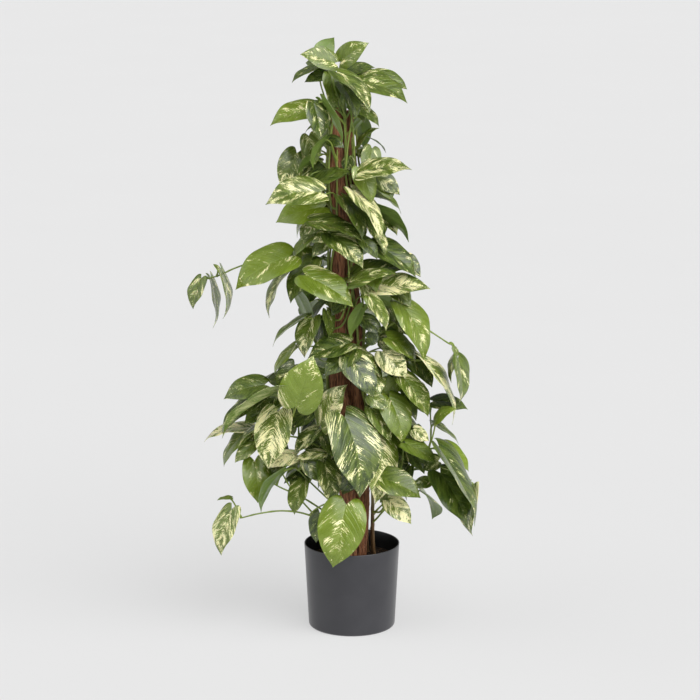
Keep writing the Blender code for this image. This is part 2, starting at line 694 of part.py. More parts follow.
def turned_shape(profile, sides):
    """Closed body turned round the Z axis from (radius, z) points that run down the outside and up inside."""
    verts, faces = [], []
    rings = []
    for radius, z in profile:
        if radius == 0:
            rings.append([len(verts)] * sides)
            verts.append(Vector((0, 0, z)))
            continue
        rings.append([len(verts) + k for k in range(sides)])
        for k in range(sides):
            turn = 2 * math.pi * k / sides
            verts.append(Vector((radius * math.cos(turn), radius * math.sin(turn), z)))
    for upper, lower in zip(rings, rings[1:]):
        for k in range(sides):
            m = (k + 1) % sides
            if lower[k] != lower[m]:
                faces.append((upper[k], lower[k], lower[m]))
            if upper[k] != upper[m]:
                faces.append((upper[k], lower[m], upper[m]))
    return Shape(verts, faces)


def rod(x, y, radius, low, high, sides):
    """Upright closed rod."""
    return tube([Vector((x, y, low)), Vector((x, y, high))], [radius, radius], sides)


def pot_radius(z):
    """Outer radius of the pot's wall at a height."""
    return POT_BASE_RADIUS + (POT_RIM_RADIUS - POT_BASE_RADIUS) * z / POT_HEIGHT


def make_pot():
    """Tapering pot, open at the top, with drain holes in its floor."""
    profile = [(0, POT_FLOOR), (pot_radius(POT_FLOOR) - POT_WALL, POT_FLOOR)]
    profile.append((pot_radius(POT_HEIGHT) - POT_WALL, POT_HEIGHT))
    profile.append((pot_radius(POT_HEIGHT), POT_HEIGHT))
    for n in range(4):
        turn = math.pi / 2 * n / 3
        radius = pot_radius(POT_FOOT_ROUND) - POT_FOOT_ROUND * (1 - math.cos(turn))
        profile.append((radius, POT_FOOT_ROUND * (1 - math.sin(turn))))
    profile.append((0, 0))
    pot = mesh_object("pot", turned_shape(profile, POT_SIDES))
    holes = []
    for n in range(DRAIN_COUNT):
        turn = 2 * math.pi * (n + 0.5) / DRAIN_COUNT
        x, y = DRAIN_RING * math.cos(turn), DRAIN_RING * math.sin(turn)
        holes.append(rod(x, y, DRAIN_RADIUS, -POT_FLOOR, 2 * POT_FLOOR, SMALL_HOLE_SIDES))
    apply_boolean(pot, "DIFFERENCE", holes)
    triangulated(pot)
    pot.data.materials.append(plain_material("pot_plastic", (0.055, 0.055, 0.060), 0.42))
    pot.data.shade_smooth()
    pot.data.set_sharp_from_angle(angle=math.radians(35))
    return pot


def make_soil():
    """Soil with a plain hole for each trunk and vine."""
    def wall(z):
        """Radius of the soil at a height, clear of the pot's wall."""
        return pot_radius(z) - POT_WALL - GAP / math.cos(math.pi / POT_SIDES)
    low = POT_FLOOR + GAP
    edge = wall(SOIL_TOP)
    profile = [(0, SOIL_TOP + SOIL_UNEVEN)]
    profile += [(edge * share, SOIL_TOP) for share in SOIL_RINGS]
    profile += [(edge, SOIL_TOP), (wall(low), low), (0, low)]
    shape = turned_shape(profile, POT_SIDES)
    for vert in shape.verts:
        if vert.z > low + MM and vert.xy.length < edge - MM:
            vert.z += SOIL_UNEVEN * math.sin(vert.x * SOIL_WAVE_X + 1) * math.cos(vert.y * SOIL_WAVE_Y)
    soil = mesh_object("soil", shape)
    above = SOIL_TOP + SOIL_COLLAR
    holes = []
    for rows in (TRUNK_FRONT, TRUNK_BACK):
        middle, radius = trunk_at(rows, SOIL_TOP)
        foot = rows[0][0] * MM - GAP
        holes.append(rod(middle.x, middle.y, radius + 2 * GAP, foot, above, HOLE_SIDES))
    for number in range(VINES):
        place = vine_point(number, SOIL_TOP)
        foot = SOIL_TOP - VINE_ROOT_DEPTH - GAP
        holes.append(rod(place.x, place.y, VINE_RADIUS_LOW + 2 * GAP, foot, above, SMALL_HOLE_SIDES))
    apply_boolean(soil, "DIFFERENCE", holes)
    triangulated(soil)
    soil.data.materials.append(plain_material("soil_dark", (0.045, 0.032, 0.024), 0.95))
    return soil


def trunk_shape(rows, start):
    """Irregular bark-covered trunk, round where it stands in the soil."""
    levels = stations(rows[0][0] * MM, rows[-1][0] * MM)
    verts, faces = [], []
    for z in levels:
        middle, radius = trunk_at(rows, z)
        rough = TRUNK_RELIEF if z > SOIL_TOP + SOIL_COLLAR else 0.0
        for k in range(TRUNK_SIDES):
            turn = 2 * math.pi * k / TRUNK_SIDES
            ridge = sum(part * math.sin(lobes * turn + z * pitch + start)
                        for part, lobes, pitch in TRUNK_RIDGES)
            reach = radius * (1 + rough * ridge)
            verts.append(middle + Vector((math.cos(turn), math.sin(turn), 0)) * reach)
    count = len(levels)
    for n in range(count - 1):
        for k in range(TRUNK_SIDES):
            a, b = n * TRUNK_SIDES + k, n * TRUNK_SIDES + (k + 1) % TRUNK_SIDES
            faces.append((a, b, b + TRUNK_SIDES))
            faces.append((a, b + TRUNK_SIDES, a + TRUNK_SIDES))
    low, high = len(verts), len(verts) + 1
    verts.append(trunk_at(rows, levels[0])[0])
    verts.append(trunk_at(rows, levels[-1])[0] + Vector((0, 0, TRUNK_HEAD)))
    last = (count - 1) * TRUNK_SIDES
    for k in range(TRUNK_SIDES):
        m = (k + 1) % TRUNK_SIDES
        faces.append((low, m, k))
        faces.append((high, last + k, last + m))
    return Shape(verts, faces)


def vine_stem(number):
    """Stem of a vine from its root in the soil to its end."""
    levels = stations(SOIL_TOP - VINE_ROOT_DEPTH, vine_top(number))
    points = [vine_point(number, z) for z in levels]
    radii = [vine_radius(z) for z in levels]
    radii[-1] *= VINE_END
    return tube(points, radii, VINE_SIDES)


def vine_places():
    """Places along every vine where a petiole or a shoot can grow, as (vine number, place)."""
    places = []
    low = SOIL_TOP + SEAT_LOWEST
    for number in range(VINES):
        run = vine_top(number) - SEAT_BELOW_TOP - low
        for n in range(SEATS_EACH + 1):
            places.append((number, vine_place(number, low + run * n / SEATS_EACH)))
    return places


def shoot_path(knots, places):
    """Vine number and path of a side shoot, from inside the vine's stem to its end."""
    knots = [seen(*knot) for knot in knots]
    number, root = petiole_seat(places, knots[0])
    return number, curve_points([root] + knots, SHOOT_STEP)


def make_plant():
    """Trunks and vines, with every leaf settled clear of the other nodes."""
    bark = plain_material("trunk_bark", (0.17, 0.085, 0.050), 0.9)
    trunks = {"trunk_front": trunk_shape(TRUNK_FRONT, 0.0), "trunk_back": trunk_shape(TRUNK_BACK, 2.0)}
    obstacles = [Obstacle(shape, name) for name, shape in trunks.items()]
    for name, shape in trunks.items():
        trunk = mesh_object(name, shape)
        trunk.data.materials.append(bark.copy())
        trunk.data.shade_smooth()
    for item in (make_pot(), make_soil()):
        verts = [v.co.copy() for v in item.data.vertices]
        faces = [tuple(p.vertices) for p in item.data.polygons]
        obstacles.append(Obstacle(Shape(verts, faces), item.name))

    shapes = {number: [vine_stem(number)] for number in range(VINES)}
    stems = vine_places()
    for knots in SHOOTS:
        number, path = shoot_path(knots, vine_places())
        radii = [SHOOT_RADIUS * (1 - SHOOT_TAPER * n / len(path)) for n in range(len(path))]
        shapes[number].append(tube(path, radii, VINE_SIDES))
        stems += [(number, point) for point in path[2:]]
    for number, items in shapes.items():
        obstacles += [Obstacle(shape, "vine_%d" % (number + 1)) for shape in items]

    green = plain_material("leaf_green", (0.10, 0.20, 0.045), 0.40)
    for number, leaf, face, stalk in settle(all_leaves(), stems, obstacles):
        if number is not None:
            shapes[number] += [stalk, face]
    for number, items in shapes.items():
        vine = mesh_object("vine_%d" % (number + 1), items[0])
        apply_boolean(vine, "UNION", items[1:])
        triangulated(vine)
        vine.data.materials.clear()
        vine.data.materials.append(green.copy())


def main():
    """Clears the scene and builds every piece."""
    for item in list(bpy.data.objects):
        bpy.data.objects.remove(item)
    make_plant()


main()
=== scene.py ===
"""Looks of a climbing pothos in a plain round pot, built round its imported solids.

Two bark-covered trunks stand in the soil. Nine vines climb them, and each carries heart-shaped leaves with
cream marbling on long petioles. Metres, +Z up, the front faces -Y. The rows of the plan are in millimetres.
"""

from __future__ import annotations

import logging
import math
import random
from dataclasses import dataclass, field
from enum import Enum
from functools import cached_property
from itertools import product
from typing import NamedTuple, Sequence

import bpy
import numpy as np
from mathutils import Matrix, Vector, noise
from mathutils.bvhtree import BVHTree
from mathutils.kdtree import KDTree

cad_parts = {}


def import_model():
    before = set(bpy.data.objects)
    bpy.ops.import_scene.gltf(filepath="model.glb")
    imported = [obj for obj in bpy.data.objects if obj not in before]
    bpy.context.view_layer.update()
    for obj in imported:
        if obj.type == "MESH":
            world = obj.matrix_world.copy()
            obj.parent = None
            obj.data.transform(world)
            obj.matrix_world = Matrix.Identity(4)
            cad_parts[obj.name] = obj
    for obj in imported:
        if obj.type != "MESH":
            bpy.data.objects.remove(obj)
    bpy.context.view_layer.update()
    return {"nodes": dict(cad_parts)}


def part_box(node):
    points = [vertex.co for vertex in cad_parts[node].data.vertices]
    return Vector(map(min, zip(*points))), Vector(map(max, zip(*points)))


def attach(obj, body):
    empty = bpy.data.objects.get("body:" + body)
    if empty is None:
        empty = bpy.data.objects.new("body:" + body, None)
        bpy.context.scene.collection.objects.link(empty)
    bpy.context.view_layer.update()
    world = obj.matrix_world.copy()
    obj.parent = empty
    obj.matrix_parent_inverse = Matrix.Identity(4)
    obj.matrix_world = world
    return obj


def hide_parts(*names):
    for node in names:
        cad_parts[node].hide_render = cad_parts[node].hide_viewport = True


log = logging.getLogger("pothos")

MM = 0.001
BODY = "root"
SOIL_TOP = 0.140
UP = Vector((0, 0, 1))
FULL_TURN = 2 * math.pi

# Upper limit of a random turn
ANY_TURN = 6.28

# Share of a step that sets numbered things apart, so that no two fall together
GOLDEN = 0.618

# Pairs are mostly the low and the high limit of a size, rows are tables of numbers, and stems are the spots
# that stalks grow from, each with the number of its vine
Piece = bpy.types.Object
Material = bpy.types.Material
Socket = bpy.types.NodeSocket
Array = np.ndarray
Colour = tuple[float, float, float, float]
Pair = tuple[float, float]
Rows = Sequence[Sequence[float]]
Stems = Sequence[tuple[int, Vector]]

# Where a viewer's eye stands; leaf places are given as seen from there on the plane y = 0
EYE = Vector((-0.0037, -5.0, 1.684))


class Slot(str, Enum):
    """Material slots of the record."""

    POT = "pot_plastic"
    SOIL = "soil"
    BARK = "bark"
    FOLIAGE = "foliage"


class Shows(int, Enum):
    """Face of a leaf that the viewer sees."""

    TOP = 1
    UNDER = -1


UNDER = Shows.UNDER

# Trunks: rows of height, x, y and radius
TRUNK_FRONT = (
    (30, -3, -9, 13.5), (155, -3, -9, 13.5), (275, -9, -10, 15.5), (440, -16, -10, 16.5),
    (510, -29, -9, 16.5), (640, -26, -10, 13), (745, -27, -11, 13), (820, -19, -11, 15),
    (900, -27, -9, 16.5), (960, -31, -8, 14), (1062, -27, -7, 12),
)
TRUNK_BACK = (
    (30, 18, 11, 12.5), (155, 18, 11, 12.5), (275, 21, 12, 15), (440, 14, 12, 15.5), (510, 3, 12, 16),
    (640, 5, 12, 15.5), (745, -3, 13, 14), (820, 7, 12, 14.5), (900, 4, 12, 15), (960, -5, 12, 13),
    (1055, -8, 11, 9),
)

# Leaves that show from the front: x and z of the base, x and z of the tip, seen width, how far the base and
# the tip stand out towards the viewer, the share of cream, the tone of the green from deep blue-green at 0
# to bright yellow-green at 1, and UNDER where the underside shows. The tone is partly the leaf's own green
# and partly painted light: a leaf that stands in shadow has a low tone as painted shade, and a backlit leaf
# a high tone as painted light shining through it
CROWN_LEAVES = (
    (-62, 1168, -35, 1201, 40, -20, -40, 0.15, 0.8, UNDER),
    (-34, 1152, -100, 1171, 40, 20, 35, 0.45, 0.5), (-22, 1154, 32, 1192, 44, 12, 25, 0.35, 0.6),
    (-15, 1133, 45, 1146, 25, 0, -8, 0.1, 0.2), (48, 1130, 110, 1103, 30, -15, -10, 0.25, 0.35),
    (3, 1118, 111, 1079, 40, 25, 50, 0.3, 0.35), (-28, 1133, 39, 1057, 36, 48, 78, 0.5, 0.3),
    (-66, 1148, -120, 1116, 12, 0, 10, 0.2, 0.3), (-45, 1130, -94, 1116, 25, 5, 0, 0.1, 0.15),
    (-45, 1148, -92, 1152, 36, -35, -50, 0.2, 0.4), (-42, 1128, -38, 1062, 36, 42, 60, 0.2, 0.5),
    (-20, 1110, 12, 1043, 32, 25, 34, 0.1, 0.3), (-70, 1064, -162, 1033, 46, 20, 45, 0.3, 0.8),
    (-75, 1070, -60, 1003, 42, 45, 60, 0.35, 0.15), (-58, 1078, -15, 990, 18, 62, 78, 0.05, 0.75, UNDER),
    (-48, 1003, -15, 985, 24, 35, 50, 0.05, 0.1), (-85, 1008, -72, 950, 42, 20, 30, 0.45, 0.5),
    (13, 992, 52, 1026, 13, 20, 20, 0.3, 0.5), (2, 1022, 35, 1053, 14, -5, -10, 0.1, 0.9, UNDER),
    (-52, 1003, -80, 942, 12, 50, 60, 0.1, 0.8, UNDER),
)
UPPER_LEAVES = (
    (-109, 974, -141, 905, 54, 5, 20, 0.5, 0.3), (-66, 972, -110, 933, 18, 30, 35, 0.2, 0.8, UNDER),
    (-85, 905, 0, 940, 30, 48, 42, 0.15, 0.2), (-62, 896, -171, 876, 55, 55, 70, 0.6, 0.35),
    (-56, 866, -152, 838, 60, 25, 35, 0.05, 0.95), (-78, 838, 22, 803, 35, 50, 62, 0.35, 0.2),
    (-18, 886, 25, 802, 32, 55, 80, 0.3, 0.2), (2, 899, 62, 800, 32, 66, 96, 0.8, 0.4),
    (16, 943, 42, 874, 40, 45, 58, 0.1, 0.8), (38, 870, 118, 800, 24, 35, 45, 0.1, 0.6, UNDER),
    (18, 937, 117, 946, 42, 15, 25, 0.6, 0.35), (-85, 832, -90, 783, 35, 20, 30, 0.4, 0.5),
    (-32, 816, -80, 796, 30, 50, 65, 0.6, 0.4), (-42, 812, 25, 745, 50, 66, 90, 0.5, 0.2),
    (-70, 768, -140, 757, 42, 5, 10, 0.2, 0.5), (-124, 768, -235, 704, 66, 40, 65, 0.4, 0.8),
    (-135, 733, -171, 643, 22, 20, 30, 0.6, 0.5), (-80, 758, -127, 673, 42, 30, 42, 0.3, 0.35),
    (-115, 700, -82, 610, 20, 10, 20, 0.2, 0.45, UNDER), (-92, 728, 5, 668, 60, 62, 88, 0.35, 0.6),
    (45, 790, 131, 728, 48, 25, 40, 0.3, 0.15), (3, 730, 106, 745, 38, 45, 40, 0.25, 0.2),
    (0, 715, 88, 736, 30, 62, 58, 0.45, 0.3), (50, 705, 157, 706, 48, 45, 55, 0.7, 0.4),
    (40, 690, 87, 665, 30, 20, 20, 0.1, 0.9, UNDER), (65, 670, 130, 600, 50, 5, 15, 0.55, 0.7),
    (100, 670, 150, 555, 58, 30, 50, 0.3, 0.75), (22, 710, 38, 655, 20, 50, 60, 0.7, 0.5),
    (38, 683, 72, 617, 28, 50, 60, 0.5, 0.45), (21, 665, -6, 602, 22, 55, 65, 0.1, 0.8, UNDER),
    (-301, 722, -321, 660, 28, 10, 20, 0.4, 0.4), (-281, 722, -272, 620, 17, 0, 5, 0.5, 0.5),
    (-260, 740, -252, 640, 18, 10, 20, 0.5, 0.4), (30, 852, 62, 788, 32, 18, 28, 0.1, 0.15),
    (20, 802, 52, 762, 28, 28, 34, 0.1, 0.15), (-45, 802, -80, 766, 32, 28, 38, 0.4, 0.3),
)
MIDDLE_LEAVES = (
    (-80, 640, -98, 560, 44, 35, 50, 0.55, 0.4), (-62, 642, -70, 590, 25, 15, 22, 0.15, 0.15),
    (-50, 656, -44, 600, 20, 45, 50, 0.2, 0.4), (-5, 590, -90, 562, 45, 60, 70, 0.35, 0.15),
    (5, 575, -58, 522, 45, 74, 90, 0.15, 0.2), (-8, 578, 58, 528, 28, 50, 60, 0.45, 0.35),
    (-5, 560, 46, 478, 60, 78, 104, 0.3, 0.05), (62, 572, 112, 520, 52, 50, 60, 0.8, 0.3),
    (60, 595, 112, 580, 38, 22, 28, 0.45, 0.15), (30, 600, 58, 600, 30, 35, 35, 0.1, 0.1),
    (95, 518, 60, 479, 38, 20, 30, 0.2, 0.85), (105, 518, 158, 440, 45, 30, 50, 0.5, 0.4),
    (140, 557, 212, 425, 15, 25, 40, 0.8, 0.5), (165, 470, 236, 456, 32, 30, 35, 0.15, 0.2),
    (168, 430, 209, 456, 22, 40, 40, 0.2, 0.8), (214, 558, 222, 466, 26, 10, 15, 0.4, 0.4),
    (207, 565, 197, 508, 16, 0, 0, 0.4, 0.4), (205, 580, 213, 562, 12, 15, 15, 0.2, 0.5),
    (-176, 504, -260, 477, 50, 5, 10, 0.25, 0.3), (-192, 475, -268, 406, 36, 12, 18, 0.3, 0.2),
    (-140, 494, -268, 402, 18, 45, 45, 0.7, 0.6, UNDER), (-205, 415, -302, 391, 18, 25, 25, 0.8, 0.5),
    (-215, 405, -264, 335, 28, 5, 8, 0.35, 0.55), (-200, 378, -239, 343, 26, 30, 35, 0.5, 0.5),
    (-150, 447, -172, 328, 76, 55, 85, 0.85, 0.45), (-140, 490, -188, 445, 38, 20, 32, 0.3, 0.3),
    (-125, 468, -178, 436, 10, 75, 80, 0.7, 0.5), (-140, 515, -172, 515, 28, -10, -15, 0.3, 0.4),
    (-115, 545, -150, 495, 46, 20, 30, 0.35, 0.2), (-113, 460, -78, 562, 88, 62, 72, 0.35, 0.85),
    (-112, 358, -171, 332, 34, 40, 50, 0.95, 0.5), (-60, 362, -118, 348, 24, 62, 68, 0.7, 0.5),
    (-62, 422, -13, 506, 56, 60, 75, 0.65, 0.55), (-75, 455, -135, 410, 40, 30, 40, 0.2, 0.15),
    (20, 642, 62, 610, 32, 30, 36, 0.2, 0.1), (122, 562, 165, 500, 34, 10, 18, 0.3, 0.2),
    (128, 480, 158, 442, 30, 20, 26, 0.3, 0.3), (-58, 402, -30, 350, 36, 42, 52, 0.4, 0.3),
)
LOWER_LEAVES = (
    (-197, 345, -190, 256, 58, 25, 45, 0.25, 0.85), (-137, 327, -190, 240, 16, 45, 50, 0.15, 0.4, UNDER),
    (-80, 330, -140, 300, 30, 25, 35, 0.2, 0.15), (-55, 338, -38, 250, 48, 75, 92, 0.55, 0.25),
    (-100, 300, -120, 232, 36, 40, 50, 0.4, 0.5), (-245, 243, -272, 146, 42, 40, 60, 0.65, 0.5),
    (-245, 268, -275, 264, 8, 15, 15, 0.1, 0.7), (-12, 252, -39, 118, 96, 118, 142, 0.3, 0.8),
    (-65, 235, -75, 172, 36, 60, 74, 0.1, 0.15), (-14, 436, 22, 268, 95, 92, 122, 0.4, 0.15),
    (42, 400, 53, 252, 76, 78, 100, 0.75, 0.6), (75, 478, 105, 382, 56, 50, 70, 0.25, 0.6),
    (40, 455, 80, 385, 40, 60, 70, 0.4, 0.4), (35, 480, 75, 455, 32, 78, 84, 0.4, 0.4),
    (100, 480, 133, 430, 24, 20, 30, 0.3, 0.4), (125, 410, 157, 387, 28, 50, 55, 0.8, 0.5),
    (175, 345, 128, 335, 36, 10, 20, 0.5, 0.4), (158, 303, 122, 292, 26, 20, 30, 0.4, 0.5),
    (180, 320, 237, 211, 68, 55, 85, 0.2, 0.2), (178, 372, 260, 214, 34, 30, 45, 0.2, 0.2),
    (190, 378, 240, 325, 34, 0, 5, 0.1, 0.95), (243, 290, 241, 186, 38, 20, 30, 0.6, 0.5),
    (75, 262, 122, 213, 44, 62, 78, 0.8, 0.55), (118, 330, 108, 262, 22, 40, 50, 0.1, 0.1),
    (80, 285, 57, 257, 26, 50, 60, 0.3, 0.4), (70, 330, 80, 288, 28, 60, 70, 0.3, 0.4),
    (115, 335, 88, 305, 34, 15, 20, 0.1, 0.15), (165, 425, 219, 383, 8, 10, 10, 0.2, 0.4),
    (96, 425, 113, 360, 28, 38, 45, 0.3, 0.3), (-92, 347, -60, 300, 38, 48, 58, 0.3, 0.2),
)
SEEN_LEAVES = CROWN_LEAVES + UPPER_LEAVES + MIDDLE_LEAVES + LOWER_LEAVES

# Side shoots: x, z and how far out, from the vine to the shoot's end
SHOOTS = (
    ((-60, 728, 5), (-95, 744, 12), (-160, 752, 16), (-200, 753, 14), (-235, 742, 12), (-265, 728, 8),
     (-298, 719, 8)),
    ((-42, 205, 18), (-90, 232, 40), (-140, 240, 48), (-190, 234, 46), (-225, 225, 42)),
    ((-45, 232, 18), (-100, 268, 26), (-150, 292, 28), (-180, 312, 24)),
    ((-40, 258, 22), (-80, 296, 36), (-108, 326, 40)),
    ((-60, 372, 10), (-100, 392, 22), (-150, 398, 24), (-190, 396, 20)),
    ((38, 590, 8), (80, 628, 18), (115, 640, 20), (160, 612, 14), (196, 588, 8)),
    ((52, 225, 5), (80, 262, 12), (100, 300, 16), (125, 340, 18), (150, 360, 16)),
)

# Long bare stalks that run up the front of the trunks: x, z and how far out, from the bottom up
LONG_STALKS = (
    ((-4, 884, 31), (-12, 930, 31), (-13, 1000, 30), (-16, 1060, 26), (-12, 1100, 24)),
    ((-16, 930, 33), (-8, 990, 32), (0, 1050, 27), (-4, 1100, 22)),
    ((-50, 866, 30), (-56, 930, 30), (-52, 990, 30), (-46, 1052, 27), (-40, 1098, 22)),
    ((12, 900, 12), (10, 960, 16), (8, 1016, 18), (2, 1066, 18), (6, 1098, 16)),
    ((-30, 950, 30), (-42, 1000, 31), (-34, 1060, 27), (-30, 1104, 20)),
    ((-6, 640, 30), (8, 690, 31), (10, 740, 32), (4, 790, 32)),
    ((-18, 628, 32), (-2, 676, 33), (2, 724, 34)),
    ((-46, 700, 26), (-48, 760, 28), (-44, 816, 30)),
    ((60, 240, 22), (92, 300, 30), (104, 360, 30), (98, 420, 26)),
    ((-38, 196, 22), (-84, 246, 30), (-120, 290, 34), (-142, 330, 34)),
)


class Leaf(NamedTuple):
    """One leaf's place, size and colouring."""

    base: Vector
    tip: Vector
    width: float
    facing: Vector
    away: Vector
    seed: int
    cream: float
    tone: float


class Axes(NamedTuple):
    """Directions and size of a blade."""

    ahead: Vector
    across: Vector
    normal: Vector
    length: float
    width: float


class Habit(NamedTuple):
    """How one blade arches, folds and waves."""

    arch: float
    fold: float
    wave: float
    start: float


class Grown(NamedTuple):
    """A leaf as it stands on its vine, with the place inside the stem that its petiole grows from."""

    vine: int
    leaf: Leaf
    root: Vector


class Strand(NamedTuple):
    """A round strand: its path, its radius and how woody it is at each point, and the tone of its green."""

    points: list[Vector]
    radii: list[float]
    woody: list[float]
    tone: float


def smooth_rows(rows: Rows, at: float) -> list[float]:
    """Reads rows of (position, value, ...) along a smooth curve through every row.

    Args:
        rows: Rows in rising order of position.
        at: Position to read at, held within the rows.

    Returns:
        The values at that position.
    """
    at = min(max(at, rows[0][0]), rows[-1][0])
    low = next(n for n in range(len(rows) - 1) if at <= rows[n + 1][0])
    before, a, b, after = rows[max(low - 1, 0)], rows[low], rows[low + 1], rows[min(low + 2, len(rows) - 1)]
    span = b[0] - a[0]
    s = (at - a[0]) / span
    values = []
    for n in range(1, len(a)):
        leave = (b[n] - before[n]) / (b[0] - before[0]) * span
        arrive = (after[n] - a[n]) / (after[0] - a[0]) * span
        start = (1 + 2 * s) * (1 - s) ** 2 * a[n] + s * (1 - s) ** 2 * leave
        values.append(start + s * s * (3 - 2 * s) * b[n] + s * s * (s - 1) * arrive)
    return values


def seen(x: float, z: float, out: float) -> Vector:
    """Place of a point seen at x, z on the plane y = 0 and standing out to the viewer, in millimetres."""
    return EYE + (Vector((x * MM, 0, z * MM)) - EYE) * (1 - out * MM / -EYE.y)


def curve_points(knots: Sequence[Vector], step: float) -> list[Vector]:
    """Points along a smooth curve through the knots.

    Args:
        knots: Places the curve runs through.
        step: About how far apart the points are.

    Returns:
        The points, from the first knot to the last.
    """
    reached = [0.0]
    for a, b in zip(knots, knots[1:]):
        reached.append(reached[-1] + (b - a).length)
    rows = [(s, *knot) for s, knot in zip(reached, knots)]
    count = max(2, round(reached[-1] / step))
    return [Vector(smooth_rows(rows, reached[-1] * n / count)) for n in range(count + 1)]


def soft_step(value: float, low: float, high: float) -> float:
    """Rises smoothly from 0 at low to 1 at high."""
    s = min(max((value - low) / (high - low), 0.0), 1.0)
    return s * s * (3 - 2 * s)


def way_at(turn: float) -> Vector:
    """Level direction at an angle."""
    return Vector((math.cos(turn), math.sin(turn), 0))


def level_ring(radius: float, z: float, sides: int) -> list[tuple[float, float, float]]:
    """Corners of a level ring round the pot's axis."""
    turns = [FULL_TURN * k / sides for k in range(sides)]
    return [(radius * math.cos(turn), radius * math.sin(turn), z) for turn in turns]


def ring_quads(start: int, sides: int, bands: int, flip: bool = False) -> list[tuple[int, ...]]:
    """Quads between rings whose corners are numbered one ring after another.

    Args:
        start: Number of the first corner.
        sides: Corners in a ring.
        bands: Bands of quads, one fewer than the rings.
        flip: Whether the quads face the other way.

    Returns:
        The quads, as corner numbers.
    """
    quads = []
    for n in range(bands):
        for k in range(sides):
            a, b = start + n * sides + k, start + n * sides + (k + 1) % sides
            quads.append((a, a + sides, b + sides, b) if flip else (a, b, b + sides, a + sides))
    return quads


def blade_points(rows: Sequence[float], columns: Sequence[float]) -> tuple[Array, Array]:
    """Places from lobe to tip and from edge to edge, row by row and ending in the tip."""
    t = np.append(np.repeat(rows, len(columns)), 1.0)
    return t, np.append(np.tile(columns, len(rows)), 0.0)


def blade_faces(deep: int, wide: int) -> list[tuple[int, ...]]:
    """Faces between a blade's points.

    Args:
        deep: Number of rows.
        wide: Points in a row.

    Returns:
        The faces, with triangles round the tip.
    """
    faces = []
    for i in range(deep - 1):
        for j in range(wide - 1):
            a = i * wide + j
            faces.append((a, a + 1, a + 1 + wide, a + wide))
    last = (deep - 1) * wide
    return faces + [(last + j, last + j + 1, last + wide) for j in range(wide - 1)]


class Wiring:
    """Node tree under construction."""

    def __init__(self, tree: bpy.types.NodeTree) -> None:
        """Starts work on a tree."""
        self.tree = tree

    def add(self, kind: str, inputs: dict | None = None, **settings: object) -> bpy.types.Node:
        """Adds a node.

        Args:
            kind: Node type.
            inputs: Values or sockets for its inputs, by name or number.
            **settings: Properties of the node.

        Returns:
            The new node.
        """
        node = self.tree.nodes.new(kind)
        for key, value in settings.items():
            setattr(node, key, value)
        for key, value in (inputs or {}).items():
            self.feed(node.inputs[key], value)
        return node

    def feed(self, socket: Socket, value: object) -> None:
        """Fills an input.

        Args:
            socket: The input.
            value: Its value, or the socket that is linked to it.
        """
        if isinstance(value, Socket):
            self.tree.links.new(value, socket)
        else:
            socket.default_value = value

    def maths(self, operation: str, *values: object) -> Socket:
        """Result of a calculation with numbers."""
        return self.add("ShaderNodeMath", dict(enumerate(values)), operation=operation).outputs[0]

    def times(self, a: object, b: object) -> Socket:
        """Product of two numbers."""
        return self.maths("MULTIPLY", a, b)

    def spread(self, value: object, low: float, high: float, start: float = 0.0, end: float = 1.0) -> Socket:
        """Smooth rise from start, where a value is at its low limit, to end at its high limit."""
        inputs = {"Value": value, "From Min": low, "From Max": high, "To Min": start, "To Max": end}
        return self.add("ShaderNodeMapRange", inputs, interpolation_type="SMOOTHSTEP").outputs["Result"]


class NodeSheet(Wiring):
    """A material under construction, round its Principled shader."""

    def __init__(self, name: str) -> None:
        """Starts a material.

        Args:
            name: Its name.
        """
        self.material = bpy.data.materials.new(name)
        self.material.use_nodes = True
        super().__init__(self.material.node_tree)

    def set(self, **inputs: object) -> None:
        """Sets sockets of the shader.

        Args:
            **inputs: Values or sockets, with underscores for the spaces in their names.
        """
        shader = self.tree.nodes["Principled BSDF"]
        for key, value in inputs.items():
            self.feed(shader.inputs[key.replace("_", " ")], value)

    def attribute(self, name: str) -> Socket:
        """Number kept at each vertex of the piece."""
        return self.add("ShaderNodeAttribute", attribute_name=name).outputs["Fac"]

    def place(self) -> Socket:
        """Object coordinates."""
        return self.add("ShaderNodeTexCoord").outputs["Object"]

    def upright(self, place: Socket, scale: float) -> Socket:
        """Scales a place's height."""
        return self.add("ShaderNodeMapping", {"Vector": place, "Scale": (1.0, 1.0, scale)}).outputs["Vector"]

    def join(self, x: object, y: object, z: object) -> Socket:
        """Vector from three numbers."""
        return self.add("ShaderNodeCombineXYZ", {"X": x, "Y": y, "Z": z}).outputs[0]

    def noise(self, vector: Socket, scale: float, detail: float = 2.0, rough: float = 0.5,
              distortion: float = 0.0) -> Socket:
        """Noise between 0 and 1.

        Args:
            vector: Where it is read.
            scale: How fine it is.
            detail: Number of finer layers.
            rough: Strength of the finer layers.
            distortion: How far the pattern is warped.

        Returns:
            The noise.
        """
        inputs = {"Vector": vector, "Scale": scale, "Detail": detail, "Roughness": rough}
        inputs["Distortion"] = distortion
        return self.add("ShaderNodeTexNoise", inputs).outputs["Fac"]

    def blend(self, share: object, a: object, b: object) -> Socket:
        """Mixes two colours.

        Args:
            share: Share of the second colour.
            a: First colour.
            b: Second colour.

        Returns:
            The mixed colour.
        """
        node = self.add("ShaderNodeMix", data_type="RGBA")
        sockets = [socket for socket in node.inputs if socket.enabled]
        for socket, value in zip(sockets, (share, a, b)):
            self.feed(socket, value)
        return next(socket for socket in node.outputs if socket.enabled)

    def bump(self, height: Socket, strength: float, distance: float, over: Socket | None = None) -> Socket:
        """Bumps the surface by a height.

        Args:
            height: Height pattern.
            strength: Strength of the bump.
            distance: Height of the bump in metres.
            over: Bumped normal that this one is laid over.

        Returns:
            The bumped normal.
        """
        inputs = {"Height": height, "Strength": strength, "Distance": distance}
        if over is not None:
            inputs["Normal"] = over
        return self.add("ShaderNodeBump", inputs).outputs["Normal"]


